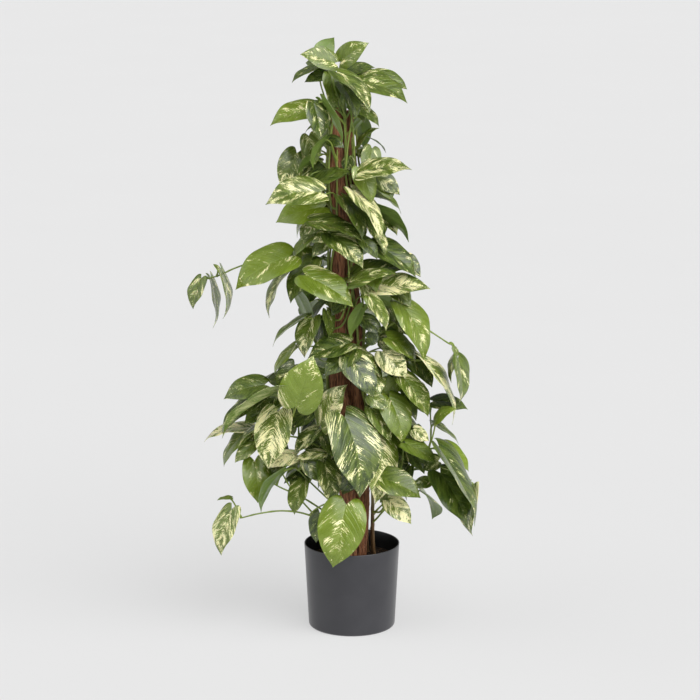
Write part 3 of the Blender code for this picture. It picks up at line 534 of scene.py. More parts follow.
@dataclass(frozen=True)
class LeafFinish:
    """Waxy green blade with cream marbling along its side veins.

    A pitch says how often a pattern changes along a side vein, and how often from vein to vein. A part says
    how much a pattern, or the leaf's own share of cream, adds to the level of the marbling.
    """

    # The deep green is partly painted shade for leaves that stand in shadow, and the bright yellow-green
    # partly painted light shining through backlit leaves
    deep: Colour = (0.006, 0.021, 0.006, 1)
    bright: Colour = (0.165, 0.235, 0.012, 1)
    pale: Colour = (0.250, 0.330, 0.050, 1)
    cream: Colour = (0.900, 0.860, 0.470, 1)
    under: Colour = (0.140, 0.230, 0.050, 1)
    streak_pitch: Pair = (3.4, 42.0)
    fleck_pitch: Pair = (14.0, 120.0)
    blotch_pitch: Pair = (1.7, 4.2)
    streak_part: float = 0.54
    fleck_part: float = 0.22
    blotch_part: float = 0.46
    share_part: float = 0.205
    halo_level: float = 0.714
    cream_level: float = 0.772
    full_level: float = 0.784
    leaf_shift: float = 37.0
    cloud_pitch: float = 3.0
    pale_clouds: float = 0.38
    pale_veins: float = 0.20
    pale_halo: float = 0.45
    under_tint: float = 0.55
    under_rough: float = 0.16
    roughness: Pair = (0.25, 0.34)
    side_veins: float = 9.0
    vein_width: float = 0.55
    veins_fade: float = 0.55
    midrib_width: float = 0.07

    def material(self) -> Material:
        """Makes the blade's material.

        Returns:
            The material.
        """
        sheet = NodeSheet("leaf_marbled")
        uv = sheet.add("ShaderNodeSeparateXYZ", {0: sheet.add("ShaderNodeUVMap", uv_map="blade").outputs[0]})
        side = sheet.maths("MULTIPLY_ADD", uv.outputs[0], 2.0, -1.0)
        rib = uv.outputs[1]
        shift = sheet.times(sheet.attribute("seed"), self.leaf_shift)
        level = self.marbling(sheet, side, rib, shift)
        cream = sheet.spread(level, self.cream_level, self.full_level)
        halo = sheet.spread(level, self.halo_level, self.cream_level)

        # Mixes by the leaf's tone, which besides the leaf's own green paints shade on leaves in shadow and
        # light on backlit leaves
        green = sheet.blend(sheet.attribute("tone"), self.deep, self.bright)
        where = sheet.join(side, sheet.times(rib, self.cloud_pitch), shift)
        clouds = sheet.noise(where, scale=2.4, detail=3.0)
        clouds = sheet.spread(clouds, low=0.35, high=0.70, end=self.pale_clouds)
        green = sheet.blend(clouds, green, self.pale)
        veins = self.vein_height(sheet, rib, sheet.maths("ABSOLUTE", side))
        sunken = sheet.spread(veins, low=0.0, high=0.30, start=self.pale_veins, end=0.0)
        green = sheet.blend(sunken, green, self.pale)
        green = sheet.blend(sheet.times(halo, self.pale_halo), green, self.pale)
        face = sheet.blend(cream, green, self.cream)
        below = sheet.maths("SUBTRACT", 1.0, sheet.attribute("upper"))
        face = sheet.blend(sheet.times(below, self.under_tint), face, self.under)

        fine = sheet.noise(sheet.place(), scale=900.0)
        rough = sheet.spread(fine, low=0.3, high=0.7, start=self.roughness[0], end=self.roughness[1])
        rough = sheet.maths("MULTIPLY_ADD", below, self.under_rough, rough)
        ripple = sheet.bump(veins, strength=0.34, distance=0.0012)
        uneven = sheet.noise(sheet.place(), scale=120.0)
        waxy = sheet.bump(uneven, strength=0.14, distance=0.0008, over=ripple)
        sheet.set(Base_Color=face, Roughness=rough, Normal=waxy, Coat_Weight=0.24, Coat_Roughness=0.22)
        sheet.set(Subsurface_Weight=0.12, Subsurface_Radius=(0.5, 1.0, 0.2), Subsurface_Scale=0.0015)
        return sheet.material

    def marbling(self, sheet: NodeSheet, side: Socket, rib: Socket, shift: Socket) -> Socket:
        """Level of the marbling, from streaks along the side veins, fine flecks and broad blotches.

        Args:
            sheet: Material being built.
            side: Signed distance from the midrib, 1 at the edge.
            rib: Where a side vein leaves the midrib.
            shift: Number that sets one leaf's pattern apart.

        Returns:
            The level.
        """
        places = []
        for across, along in (self.streak_pitch, self.fleck_pitch, self.blotch_pitch):
            x, y = sheet.times(side, across), sheet.times(rib, along)
            places.append(sheet.join(x, y, shift))
        streaks = sheet.noise(places[0], scale=1.0, detail=4.0, rough=0.66, distortion=0.55)
        flecks = sheet.noise(places[1], scale=1.0)
        blotches = sheet.noise(places[2], scale=1.0, detail=1.0)
        level = sheet.times(streaks, self.streak_part)
        level = sheet.maths("MULTIPLY_ADD", blotches, self.blotch_part, level)
        level = sheet.maths("MULTIPLY_ADD", flecks, self.fleck_part, level)
        return sheet.maths("MULTIPLY_ADD", sheet.attribute("cream"), self.share_part, level)

    def vein_height(self, sheet: NodeSheet, rib: Socket, off_midrib: Socket) -> Socket:
        """Height of the surface between sunken side veins and beside the midrib.

        Args:
            sheet: Material being built.
            rib: Where a side vein leaves the midrib.
            off_midrib: Distance from the midrib, 1 at the edge.

        Returns:
            Height, 0 in a vein and 1 between two.
        """
        wave = sheet.maths("SINE", sheet.times(rib, math.pi * self.side_veins))
        between = sheet.spread(sheet.maths("ABSOLUTE", wave), 0.0, self.vein_width)
        between = sheet.maths("MAXIMUM", between, sheet.spread(off_midrib, self.veins_fade, 1.0))
        return sheet.times(between, sheet.spread(off_midrib, 0.0, self.midrib_width))


@dataclass(frozen=True)
class StalkFinish:
    """Fresh yellow-green stalk, browner where it is woody."""

    fresh: Colour = (0.270, 0.340, 0.050, 1)
    dull: Colour = (0.085, 0.150, 0.030, 1)
    woody: Colour = (0.170, 0.100, 0.045, 1)

    def material(self) -> Material:
        """Makes the material of stems, petioles and rootlets.

        Returns:
            The material.
        """
        sheet = NodeSheet("stalk_green")
        place = sheet.place()
        patches = sheet.noise(place, scale=60.0, detail=3.0)
        green = sheet.blend(sheet.attribute("tone"), self.dull, self.fresh)
        green = sheet.blend(sheet.spread(patches, low=0.45, high=0.75, end=0.4), green, self.dull)
        colour = sheet.blend(sheet.attribute("woody"), green, self.woody)
        lines = sheet.noise(sheet.upright(place, scale=0.12), scale=1400.0)
        surface = sheet.bump(lines, strength=0.25, distance=0.0004)
        sheet.set(Base_Color=colour, Roughness=0.46, Normal=surface)
        return sheet.material


@dataclass(frozen=True)
class BarkFinish:
    """Red-brown fibrous bark with dark grooves."""

    groove: Colour = (0.060, 0.022, 0.012, 1)
    body: Colour = (0.340, 0.145, 0.070, 1)
    fibre: Colour = (0.580, 0.340, 0.200, 1)
    loose_tint: float = 0.6

    def material(self) -> Material:
        """Makes the material of the trunks and their fibres.

        Returns:
            The material.
        """
        sheet = NodeSheet("bark_fibrous")
        place = sheet.place()
        drawn, long = sheet.upright(place, scale=0.055), sheet.upright(place, scale=0.25)
        grain = sheet.noise(drawn, scale=520.0, detail=5.0, rough=0.62, distortion=0.4)
        bands = sheet.noise(long, scale=95.0, detail=3.0, distortion=0.3)
        patches = sheet.noise(place, scale=28.0)
        colour = sheet.blend(sheet.spread(grain, low=0.36, high=0.56), self.groove, self.body)
        patches = sheet.spread(patches, low=0.3, high=0.7, start=0.35)
        light = sheet.times(sheet.spread(grain, low=0.56, high=0.74), patches)
        colour = sheet.blend(light, colour, self.fibre)
        colour = sheet.blend(sheet.spread(bands, low=0.52, high=0.66, end=0.55), colour, self.groove)
        loose = sheet.times(sheet.attribute("loose"), self.loose_tint)
        colour = sheet.blend(loose, colour, self.fibre)
        rough = sheet.bump(bands, strength=0.6, distance=0.0030)
        fibres = sheet.bump(grain, strength=0.9, distance=0.0012, over=rough)
        sheet.set(Base_Color=colour, Roughness=0.82, Specular_IOR_Level=0.3, Normal=fibres)
        return sheet.material


@dataclass(frozen=True)
class SoilFinish:
    """Dark crumbly potting soil with brown flecks."""

    dark: Colour = (0.012, 0.008, 0.006, 1)
    crumb: Colour = (0.060, 0.034, 0.020, 1)
    fleck: Colour = (0.230, 0.140, 0.075, 1)

    def material(self) -> Material:
        """Makes the material of the soil and its crumbs.

        Returns:
            The material.
        """
        sheet = NodeSheet("soil_crumbly")
        grains = sheet.noise(sheet.place(), scale=420.0, detail=4.0, rough=0.65)
        lumps = sheet.noise(sheet.place(), scale=90.0, detail=3.0)
        colour = sheet.blend(sheet.spread(grains, low=0.40, high=0.66), self.dark, self.crumb)
        colour = sheet.blend(sheet.spread(grains, low=0.66, high=0.72), colour, self.fleck)
        tint = sheet.attribute("tint")
        colour = sheet.blend(sheet.spread(tint, low=0.55, high=1.0, end=0.75), colour, self.crumb)
        colour = sheet.blend(sheet.spread(tint, low=0.90, high=0.97), colour, self.fleck)
        lumpy = sheet.bump(lumps, strength=0.6, distance=0.0030)
        surface = sheet.bump(grains, strength=0.9, distance=0.0012, over=lumpy)
        sheet.set(Base_Color=colour, Roughness=0.94, Specular_IOR_Level=0.25, Normal=surface)
        return sheet.material


@dataclass(frozen=True)
class PotFinish:
    """Satin charcoal plastic, moulded, a little scuffed at the rim and foot, with painted shade on its
    inside.
    """

    plastic: Colour = (0.030, 0.030, 0.035, 1)
    # Painted shade for the inside of the pot, which is the same plastic as the outside
    inside_shade: Colour = (0.007, 0.007, 0.008, 1)
    worn: Colour = (0.110, 0.110, 0.118, 1)
    rim_wear: float = 0.0030
    foot_wear: float = 0.008
    wear_tint: float = 0.35

    def material(self, height: float) -> Material:
        """Makes the pot's material.

        Args:
            height: Height of the rim, where the wear is.

        Returns:
            The material.
        """
        sheet = NodeSheet("pot_charcoal")
        place = sheet.place()
        level = sheet.add("ShaderNodeSeparateXYZ", {0: place}).outputs[2]
        cloud = sheet.noise(place, scale=22.0, detail=3.0)
        colour = sheet.blend(sheet.spread(cloud, low=0.35, high=0.70, end=0.06), self.plastic, self.worn)
        scuffs = sheet.noise(sheet.upright(place, scale=3.0), scale=130.0, detail=5.0, rough=0.7)
        at_rim = sheet.spread(level, height - self.rim_wear, height)
        at_foot = sheet.spread(level, 0.0, self.foot_wear, start=0.5, end=0.0)
        edges = sheet.maths("MAXIMUM", at_rim, at_foot)
        edges = sheet.times(edges, sheet.spread(scuffs, low=0.42, high=0.62))
        colour = sheet.blend(sheet.times(edges, self.wear_tint), colour, self.worn)
        # Paints shade over the inside of the pot
        colour = sheet.blend(sheet.attribute("inside"), colour, self.inside_shade)
        rough = sheet.spread(cloud, low=0.3, high=0.7, start=0.29, end=0.33)
        drawn = sheet.noise(sheet.upright(place, scale=0.05), scale=260.0)
        surface = sheet.bump(drawn, strength=0.05, distance=0.0006)
        surface = sheet.bump(sheet.noise(place, scale=1500.0), strength=0.10, distance=0.0003, over=surface)
        sheet.set(Base_Color=colour, Roughness=rough, Normal=surface, Coat_Weight=0.06, Coat_Roughness=0.35)
        return sheet.material


@dataclass(frozen=True)
class FloorFinish:
    """Pale, even studio floor that glows a little, so that shadows on it stay faint."""

    shade: Colour = (0.245, 0.245, 0.246, 1)
    glow: Colour = (1.0, 1.0, 1.0, 1)
    glow_strength: float = 0.52
    darkening: float = 0.985

    def material(self) -> Material:
        """Makes the floor's material.

        Returns:
            The material.
        """
        sheet = NodeSheet("floor_pale")
        cloud = sheet.noise(sheet.place(), scale=1.5)
        darker = tuple(value * self.darkening for value in self.shade[:3]) + (1.0,)
        colour = sheet.blend(sheet.spread(cloud, low=0.3, high=0.7), darker, self.shade)
        sheet.set(Base_Color=colour, Roughness=0.75)
        sheet.set(Specular_IOR_Level=0.1, Emission_Color=self.glow, Emission_Strength=self.glow_strength)
        return sheet.material


class GeometryTree(Wiring):
    """Geometry Nodes tree under construction, with named inputs, that ends in one finish."""

    def __init__(self, name: str) -> None:
        """Starts the tree with a geometry input and output.

        Args:
            name: Its name.
        """
        super().__init__(bpy.data.node_groups.new(name, "GeometryNodeTree"))
        for way in ("INPUT", "OUTPUT"):
            self.tree.interface.new_socket("Geometry", in_out=way, socket_type="NodeSocketGeometry")
        self.source = self.add("NodeGroupInput")
        self.sink = self.add("NodeGroupOutput")
        self.values: dict[str, object] = {}

    def size(self, name: str, value: float, kind: str = "NodeSocketFloat") -> Socket:
        """Adds a named input.

        Args:
            name: The input's name.
            value: Value that the modifier gives it.
            kind: Socket type.

        Returns:
            The socket that carries it inside the tree.
        """
        socket = self.tree.interface.new_socket(name, in_out="INPUT", socket_type=kind)
        self.values[socket.identifier] = value
        return self.source.outputs[name]

    def store(self, geometry: Socket, name: str, value: object) -> Socket:
        """Keeps a number at each point of a geometry.

        Args:
            geometry: The geometry.
            name: Name of the number.
            value: The number, or a socket that gives it.

        Returns:
            The geometry with its numbers.
        """
        node = self.add("GeometryNodeStoreNamedAttribute", {"Geometry": geometry, "Name": name})
        self.feed(next(socket for socket in node.inputs if socket.name == "Value" and socket.enabled), value)
        return node.outputs[0]

    def scatter(self, height: float, density: Socket, seed: int) -> Socket:
        """Scatters points over the part of the surface above a height.

        Args:
            height: The height.
            density: Points to a square metre.
            seed: Seed of their places.

        Returns:
            The points.
        """
        place = self.add("GeometryNodeInputPosition").outputs[0]
        level = self.add("ShaderNodeSeparateXYZ", {0: place}).outputs[2]
        above = self.add("FunctionNodeCompare", {0: level, 1: height}, operation="GREATER_THAN").outputs[0]
        inputs = {"Mesh": self.source.outputs[0], "Selection": above, "Density": density, "Seed": seed}
        return self.add("GeometryNodeDistributePointsOnFaces", inputs).outputs[0]

    def chance(self, low: Sequence[float], high: Sequence[float], seed: int = 0) -> Socket:
        """Random vector at each point.

        Args:
            low: Its lower limits.
            high: Its upper limits.
            seed: Seed of the draws.

        Returns:
            The vector.
        """
        node = self.add("FunctionNodeRandomValue", {"Seed": seed}, data_type="FLOAT_VECTOR")
        self.feed(node.inputs[0], low)
        self.feed(node.inputs[1], high)
        return node.outputs[0]

    def strew(self, item: Socket, points: Socket, turn: Socket, scale: Socket) -> Socket:
        """Puts an item on each point.

        Args:
            item: The item.
            points: The points.
            turn: Its turn about each axis, in radians.
            scale: Its scale along each axis.

        Returns:
            The items as plain geometry.
        """
        turned = self.add("FunctionNodeEulerToRotation", {0: turn}).outputs[0]
        inputs = {"Points": points, "Instance": item, "Rotation": turned, "Scale": scale}
        strewn = self.add("GeometryNodeInstanceOnPoints", inputs).outputs[0]
        return self.add("GeometryNodeRealizeInstances", {0: strewn}).outputs[0]

    def join(self, *parts: Socket) -> Socket:
        """Joins geometries.

        Args:
            *parts: The geometries.

        Returns:
            All of them as one.
        """
        joined = self.add("GeometryNodeJoinGeometry")
        for part in parts:
            self.feed(joined.inputs[0], part)
        return joined.outputs[0]

    def close(self, geometry: Socket, material: Material) -> None:
        """Ends the tree in Realize Instances and Set Material.

        Args:
            geometry: What the tree has made.
            material: Its material.
        """
        real = self.add("GeometryNodeRealizeInstances", {"Geometry": geometry})
        finish = self.add("GeometryNodeSetMaterial", {"Geometry": real.outputs[0], "Material": material})
        self.feed(self.sink.inputs[0], finish.outputs[0])

    def grow(self, item: Piece) -> None:
        """Runs the tree on an object and keeps the result as its plain mesh.

        Args:
            item: Object whose mesh goes in.
        """
        modifier = item.modifiers.new(self.tree.name, "NODES")
        modifier.node_group = self.tree
        for identifier, value in self.values.items():
            modifier[identifier] = value
        keep_result(item)


def new_piece(name: str, verts: Sequence, edges: Sequence, faces: Sequence) -> Piece:
    """Adds a mesh object to the scene.

    Args:
        name: The piece's name.
        verts: Vertex places.
        edges: Edges that no face has.
        faces: Faces, as vertex numbers.

    Returns:
        The object.
    """
    mesh = bpy.data.meshes.new(name)
    mesh.from_pydata([tuple(vert) for vert in verts], edges, faces)
    mesh.update()
    item = bpy.data.objects.new(name, mesh)
    bpy.context.scene.collection.objects.link(item)
    return item


def keep_result(item: Piece) -> None:
    """Turns the result of an object's modifiers into its plain mesh.

    Args:
        item: The object.
    """
    bpy.context.view_layer.update()
    graph = bpy.context.evaluated_depsgraph_get()
    result = bpy.data.meshes.new_from_object(item.evaluated_get(graph))
    item.modifiers.clear()
    old = item.data
    item.data = result
    bpy.data.meshes.remove(old)
    result.name = item.name


def keep_number(mesh: bpy.types.Mesh, name: str, values: Sequence[float]) -> None:
    """Keeps a number at each vertex of a mesh."""
    kept = mesh.attributes.new(name, "FLOAT", "POINT")
    kept.data.foreach_set("value", np.asarray(values, dtype=np.float32))


def place_piece(item: Piece, slot: Slot, *nodes: str) -> None:
    """Hangs a finished piece on the part's body in the place of its nodes.

    Args:
        item: The piece.
        slot: Material slot of the record; not used.
        *nodes: Nodes that it stands for.
    """
    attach(item, BODY)
    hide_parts(*nodes)
    triangles = sum(len(face.vertices) - 2 for face in item.data.polygons)
    log.info("%s: %d triangles, stands for %s", item.name, triangles, ", ".join(nodes))


@dataclass
class Support:
    """The two trunks as the vines feel them."""

    relief: float = 0.07
    ridges: tuple[tuple[float, int, float], ...] = ((0.6, 3, 31.0), (0.4, 5, -47.0))
    tests: int = 6

    @property
    def margin(self) -> float:
        """Share of the radius that the bark's ridges reach to."""
        return 1.0 + self.relief

    def at(self, rows: Rows, z: float) -> tuple[Vector, float]:
        """Centre and radius of a trunk at a height."""
        x, y, radius = smooth_rows(rows, z / MM)
        return Vector((x * MM, y * MM, z)), radius * MM

    def centre(self, z: float) -> Vector:
        """Middle of the two trunks at a height."""
        return (self.at(TRUNK_FRONT, z)[0] + self.at(TRUNK_BACK, z)[0]) / 2

    def blocks(self, start: Vector, end: Vector, top: float) -> bool:
        """Tells whether a straight line would run into the trunks.

        Args:
            start: First end of the line.
            end: Its other end.
            top: Height above which nothing is in the way.

        Returns:
            True where it would.
        """
        for n in range(1, self.tests):
            point = start.lerp(end, n / self.tests)
            for rows in (TRUNK_FRONT, TRUNK_BACK):
                middle, radius = self.at(rows, point.z)
                if point.z < top and (point - middle).length < radius:
                    return True
        return False


@dataclass
class Climb:
    """Courses of the vines round the trunks, and the places on them that petioles grow from."""

    support: Support
    soil_top: float
    count: int = 9
    top: float = 1.050
    top_spread: float = 0.070
    fan_low: float = math.radians(75)
    fan_high: float = math.radians(163)
    sway: float = math.radians(5)
    sway_pitch: float = 17.0
    sway_shift: float = 2.1
    sway_start: float = 4.0
    foot: float = 0.004
    radius_low: float = 0.0029
    radius_high: float = 0.0019
    root_depth: float = 0.045
    root_spread: float = 0.012
    root_fade: float = 12.0
    gap: float = 0.0004
    station: float = 0.080
    places_each: int = 80
    lowest: float = 0.020
    below_end: float = 0.004
    slope: float = 0.30
    level_fine: float = 2.0
    ring_gap: float = 0.010
    shoot_step: float = 0.030

    def end_of(self, number: int) -> float:
        """Height at which a vine ends."""
        return self.top - self.top_spread * (number * GOLDEN % 1)

    def point(self, number: int, z: float) -> Vector:
        """Centre of a vine's stem at a height, just outside both trunks.

        Args:
            number: The vine, from 0.
            z: The height.

        Returns:
            The place.
        """
        level = max(z, self.soil_top + self.foot)
        rise = (level - self.soil_top) / (self.top - self.soil_top)
        share = 2 * number / (self.count - 1) - 1
        fan = self.fan_low + (self.fan_high - self.fan_low) * rise
        sway = self.sway * math.sin(level * self.sway_pitch + number * self.sway_shift)
        way = way_at(math.pi / 2 + share * fan + sway * min(1, rise * self.sway_start))
        centre = self.support.centre(level)
        trunks = (self.support.at(TRUNK_FRONT, level), self.support.at(TRUNK_BACK, level))
        reach = max(way.dot(middle - centre) + radius * self.support.margin for middle, radius in trunks)
        reach += self.radius_low + self.gap + self.root_spread * math.exp(-rise * self.root_fade)
        place = centre + way * reach
        return Vector((place.x, place.y, z))

    def radius(self, z: float) -> float:
        """Radius of a vine's stem at a height."""
        rise = min(max((z - self.soil_top) / (self.top - self.soil_top), 0), 1)
        return self.radius_low + (self.radius_high - self.radius_low) * rise

    def stations(self, low: float, high: float) -> list[float]:
        """Heights of a vine's rings in the solids."""
        levels = [self.soil_top + self.foot + self.station * n
                  for n in range(round(self.top / self.station))]
        return [low] + [z for z in levels if low + self.ring_gap < z < high - self.ring_gap] + [high]

    def place(self, number: int, z: float) -> Vector:
        """Place inside a vine's stem at a height, on the straight run between two of its rings.

        Args:
            number: The vine, from 0.
            z: The height.

        Returns:
            The place.
        """
        levels = self.stations(self.soil_top - self.root_depth, self.end_of(number))
        upper = next(n for n in range(1, len(levels)) if z <= levels[n] or n == len(levels) - 1)
        low, high = levels[upper - 1], levels[upper]
        return self.point(number, low).lerp(self.point(number, high), (z - low) / (high - low))

    @cached_property
    def places(self) -> list[tuple[int, Vector]]:
        """Every spot on the vines that a petiole or a shoot can grow from.

        Returns:
            The vine and place of each.
        """
        found = []
        for number in range(self.count):
            for n in range(self.places_each + 1):
                low = self.soil_top + self.lowest
                run = self.end_of(number) - self.below_end - low
                found.append((number, self.place(number, low + run * n / self.places_each)))
        return found

    def effort(self, spot: Vector, base: Vector) -> float:
        """Length of a petiole from a spot to its leaf's base, with a fine for running level or down."""
        away = base - spot
        return away.length + self.level_fine * max(0.0, self.slope * math.hypot(away.x, away.y) - away.z)

    def seat(self, stems: Stems, base: Vector) -> tuple[int, Vector]:
        """Spot that a leaf's petiole grows from: near its base, lower, and in sight of it."""
        ranked = sorted(stems, key=lambda option: self.effort(option[1], base))
        return next((spot for spot in ranked if not self.support.blocks(spot[1], base, self.top)), ranked[0])

    def moved_seat(self, number: int, place: Vector, climb: float) -> Vector:
        """Finds a petiole's root after a move along its vine.

        Args:
            number: The vine, from 0.
            place: The root before the move. One on a side shoot stays.
            climb: The move upwards, in millimetres.

        Returns:
            The root.
        """
        on_stem = (place - self.place(number, min(place.z, self.end_of(number)))).length <= MM
        if climb == 0 or not on_stem:
            return place
        height = max(place.z + climb * MM, self.soil_top + self.lowest)
        return self.place(number, min(height, self.end_of(number) - self.below_end))

    def shoot(self, knots: Rows, step: float) -> tuple[int, list[Vector]]:
        """Course of a side shoot, from inside a vine's stem to its end.

        Args:
            knots: x, z and how far out, in millimetres, from the vine to its end.
            step: About how far apart the points are.

        Returns:
            The vine's number and the points.
        """
        points = [seen(*knot) for knot in knots]
        number, root = self.seat(self.places, points[0])
        return number, curve_points([root] + points, step)


@dataclass
class BladeForm:
    """Form of a heart-shaped blade: lobes at its base, widest a third along, drawn out to a tip."""

    shoulder: float = 0.38
    widest: float = 0.30
    lobe: float = 0.13
    lobe_side: float = 0.38
    fullness: float = 2.0
    tip_draw: float = 0.60
    tip_power: float = 8.0
    slender: float = 0.70
    broad: float = 0.78
    arch: Pair = (0.03, 0.10)
    fold: Pair = (0.10, 0.30)
    wave: Pair = (0.010, 0.022)
    wave_pitch: float = 9.0
    solid_thick: float = 0.0009
    solid_rows: tuple[Pair, ...] = ((0.118, 0.18), (0.085, 0.24), (0.0, 0.40))
    thick: float = 0.00055
    midrib_depth: float = 0.00075
    rows: int = 24
    columns: tuple[float, ...] = (0, 0.045, 0.13, 0.26, 0.41, 0.57, 0.73, 0.88, 1.0)
    crease_round: float = 0.0022
    rib_sweep: float = 0.70
    rib_curl: float = 1.00

    def axes(self, leaf: Leaf) -> Axes:
        """Directions and size of a leaf's blade.

        Args:
            leaf: The leaf.

        Returns:
            Directions along it, across it and out of its upper face, its length and its real width.
        """
        ahead = leaf.tip - leaf.base
        length = ahead.length
        ahead.normalize()
        facing = leaf.facing - ahead * leaf.facing.dot(ahead)
        facing.normalize()
        width = max(leaf.width, self.slender * length)
        roll = math.acos(min(1.0, leaf.width / width))
        turned = [Matrix.Rotation(way * roll, 3, ahead) @ facing for way in (1, -1)]
        normal = max(turned, key=lambda way: way.z)
        return Axes(ahead, ahead.cross(normal), normal, length, width)

    def habit(self, leaf: Leaf) -> Habit:
        """Arch, fold and edge wave of one leaf, and where its wave starts."""
        pick = random.Random(leaf.seed)
        return Habit(*(pick.uniform(*span) for span in (self.arch, self.fold, self.wave, (0, FULL_TURN))))

    def outline(self, t: Array) -> tuple[Array, Array]:
        """Edge of a blade of unit length and unit half width.

        Args:
            t: Places from lobe at 0 to tip at 1.

        Returns:
            The half width, and the distance along the midrib.
        """
        turn = math.pi / 2 * np.minimum(t / self.shoulder, 1.0)
        s = np.maximum((t - self.shoulder) / (1 - self.shoulder), 0.0)
        lobe_half = self.lobe_side + (1 - self.lobe_side) * np.sin(turn)
        lobe_edge = self.widest - (self.widest + self.lobe) * np.cos(turn)
        tip_half = (1 - s ** self.fullness) * (1 - self.tip_draw * s ** self.tip_power)
        tip_edge = self.widest + (1 - self.widest) * s
        low = t < self.shoulder
        return np.where(low, lobe_half, tip_half), np.where(low, lobe_edge, tip_edge)

    def surface(self, leaf: Leaf, t: Array, v: Array, crease: float = 0.0) -> Array:
        """Places on a leaf's middle surface.

        Args:
            leaf: The leaf.
            t: Places from lobe to tip.
            v: Places from edge to edge, -1 to 1.
            crease: Rounding of the fold along the midrib, in metres.

        Returns:
            One row of x, y, z for each place.
        """
        axes, habit = self.axes(leaf), self.habit(leaf)
        half, edge = self.outline(t)
        side = v * half * axes.width / 2
        along = axes.length * (t + (edge - t) * np.sin(math.pi / 2 * np.abs(v)))
        bend = np.sqrt(side * side + crease * crease) - crease
        lift = 4 * habit.arch * along * (1 - along / axes.length) + habit.fold * bend
        wave = np.sin(self.wave_pitch * t + habit.start + v)
        lift += habit.wave * axes.length * v * v * wave * (1 - t * t)
        place = np.array(leaf.base) + np.outer(along, axes.ahead) + np.outer(side, axes.across)
        return place + np.outer(lift, axes.normal)

    def rib(self, t: Array, v: Array) -> Array:
        """Finds the side vein through each place.

        Args:
            t: Places from lobe to tip.
            v: Places from edge to edge, -1 to 1.

        Returns:
            Where the vein leaves the midrib.
        """
        half, edge = self.outline(t)
        aside = np.abs(v) * half * self.broad / 2
        along = t + (edge - t) * np.sin(math.pi / 2 * np.abs(v))
        return along - self.rib_sweep * aside - self.rib_curl * aside * aside

    def attachment(self, leaf: Leaf, inset: float) -> Vector:
        """Place on the midrib that the petiole meets."""
        t = np.array([inset / self.axes(leaf).length])
        return Vector(self.surface(leaf, t, np.zeros(1))[0])

    def corners(self, leaf: Leaf) -> list[Vector]:
        """Corners that the leaf's plain solid has.

        Args:
            leaf: The leaf.

        Returns:
            Both sides of its tip and of its shoulders.
        """
        axes = self.axes(leaf)
        row = next(row for length, row in self.solid_rows if axes.length > length)
        middle = self.surface(leaf, np.array([1.0, row, row]), np.array([0.0, -1.0, 1.0]))
        lift = np.array(axes.normal) * self.solid_thick / 2
        return [Vector(point) for point in np.concatenate([middle + lift, middle - lift])]


@dataclass
class PetioleForm:
    """Petiole: leaves the stem upwards and outwards, and bends to meet the underside of its blade."""

    blade: BladeForm
    radius: float = 0.0013
    drawn_radius: float = 0.00155
    into_blade: float = 0.0030
    solid_sides: int = 3
    solid_long: float = 0.130
    outward: float = 0.30
    upward: float = 0.36
    lean: float = 0.25
    approach: float = 0.30
    samples: int = 16
    sheath: float = 0.85
    sheath_run: float = 0.12
    knee: float = 0.40
    knee_run: float = 0.07
    end_draw: float = 0.45
    end_from: float = 0.95
    tone: Pair = (0.35, 0.95)

    def handles(self, leaf: Leaf, root: Vector) -> tuple[Vector, Vector, Vector, Vector]:
        """Control points of the petiole's curve.

        Args:
            leaf: Its leaf.
            root: Where it grows from.

        Returns:
            Four points from its root to its blade.
        """
        axes = self.blade.axes(leaf)
        end = self.blade.attachment(leaf, self.into_blade)
        run = (end - root).length
        outward = Vector((end.x - root.x, end.y - root.y, 0)).normalized()
        leave = root + (outward * self.outward + UP * self.upward) * run
        lean = ((axes.normal + axes.ahead) / 2 + UP * self.lean).normalized()
        return root, leave, end - lean * run * self.approach, end

    def path(self, leaf: Leaf, root: Vector, count: int) -> list[Vector]:
        """Points along the petiole.

        Args:
            leaf: Its leaf.
            root: Where it grows from.
            count: Number of steps.

        Returns:
            The points from its root to its blade.
        """
        root, leave, arrive, end = self.handles(leaf, root)
        points = []
        for n in range(count + 1):
            s = n / count
            a, b, c = root.lerp(leave, s), leave.lerp(arrive, s), arrive.lerp(end, s)
            points.append(a.lerp(b, s).lerp(b.lerp(c, s), s))
        return points

    def solid_ring(self, leaf: Leaf, root: Vector) -> list[Vector]:
        """Second ring of the petiole's plain solid.

        Args:
            leaf: Its leaf.
            root: Where it grows from.

        Returns:
            The ring's corners.
        """
        start, _, _, end = self.handles(leaf, root)
        points = self.path(leaf, root, 2 if (end - start).length < self.solid_long else 3)
        first = (points[1] - points[0]).normalized()
        side = first.orthogonal()
        side = (side - first * side.dot(first)).normalized()
        ahead = (points[2] - points[0]).normalized()
        side = (side - ahead * side.dot(ahead)).normalized()
        other = ahead.cross(side)
        ring = []
        for k in range(self.solid_sides):
            turn = FULL_TURN * k / self.solid_sides
            ring.append(points[1] + (side * math.cos(turn) + other * math.sin(turn)) * self.radius)
        return ring

    def strand(self, leaf: Leaf, root: Vector) -> Strand:
        """The petiole with its sheath at the stem and its knee below the blade.

        Args:
            leaf: Its leaf.
            root: Where it grows from.

        Returns:
            The strand.
        """
        points = self.path(leaf, root, self.samples)
        radii = []
        for n in range(self.samples + 1):
            s = n / self.samples
            swell = self.sheath * math.exp(-(s / self.sheath_run) ** 2)
            swell += self.knee * math.exp(-((1 - s - self.knee_run) / self.knee_run) ** 2)
            drawn = 1 - self.end_draw * soft_step(s, self.end_from, 1.0)
            radii.append(self.drawn_radius * (1 + swell) * drawn)
        # A petiole takes its leaf's tone, so the painted shade of a shaded leaf and the painted light of a
        # backlit one carry onto it
        tone = self.tone[0] + (self.tone[1] - self.tone[0]) * leaf.tone
        return Strand(points, radii, [0.0] * len(points), tone)


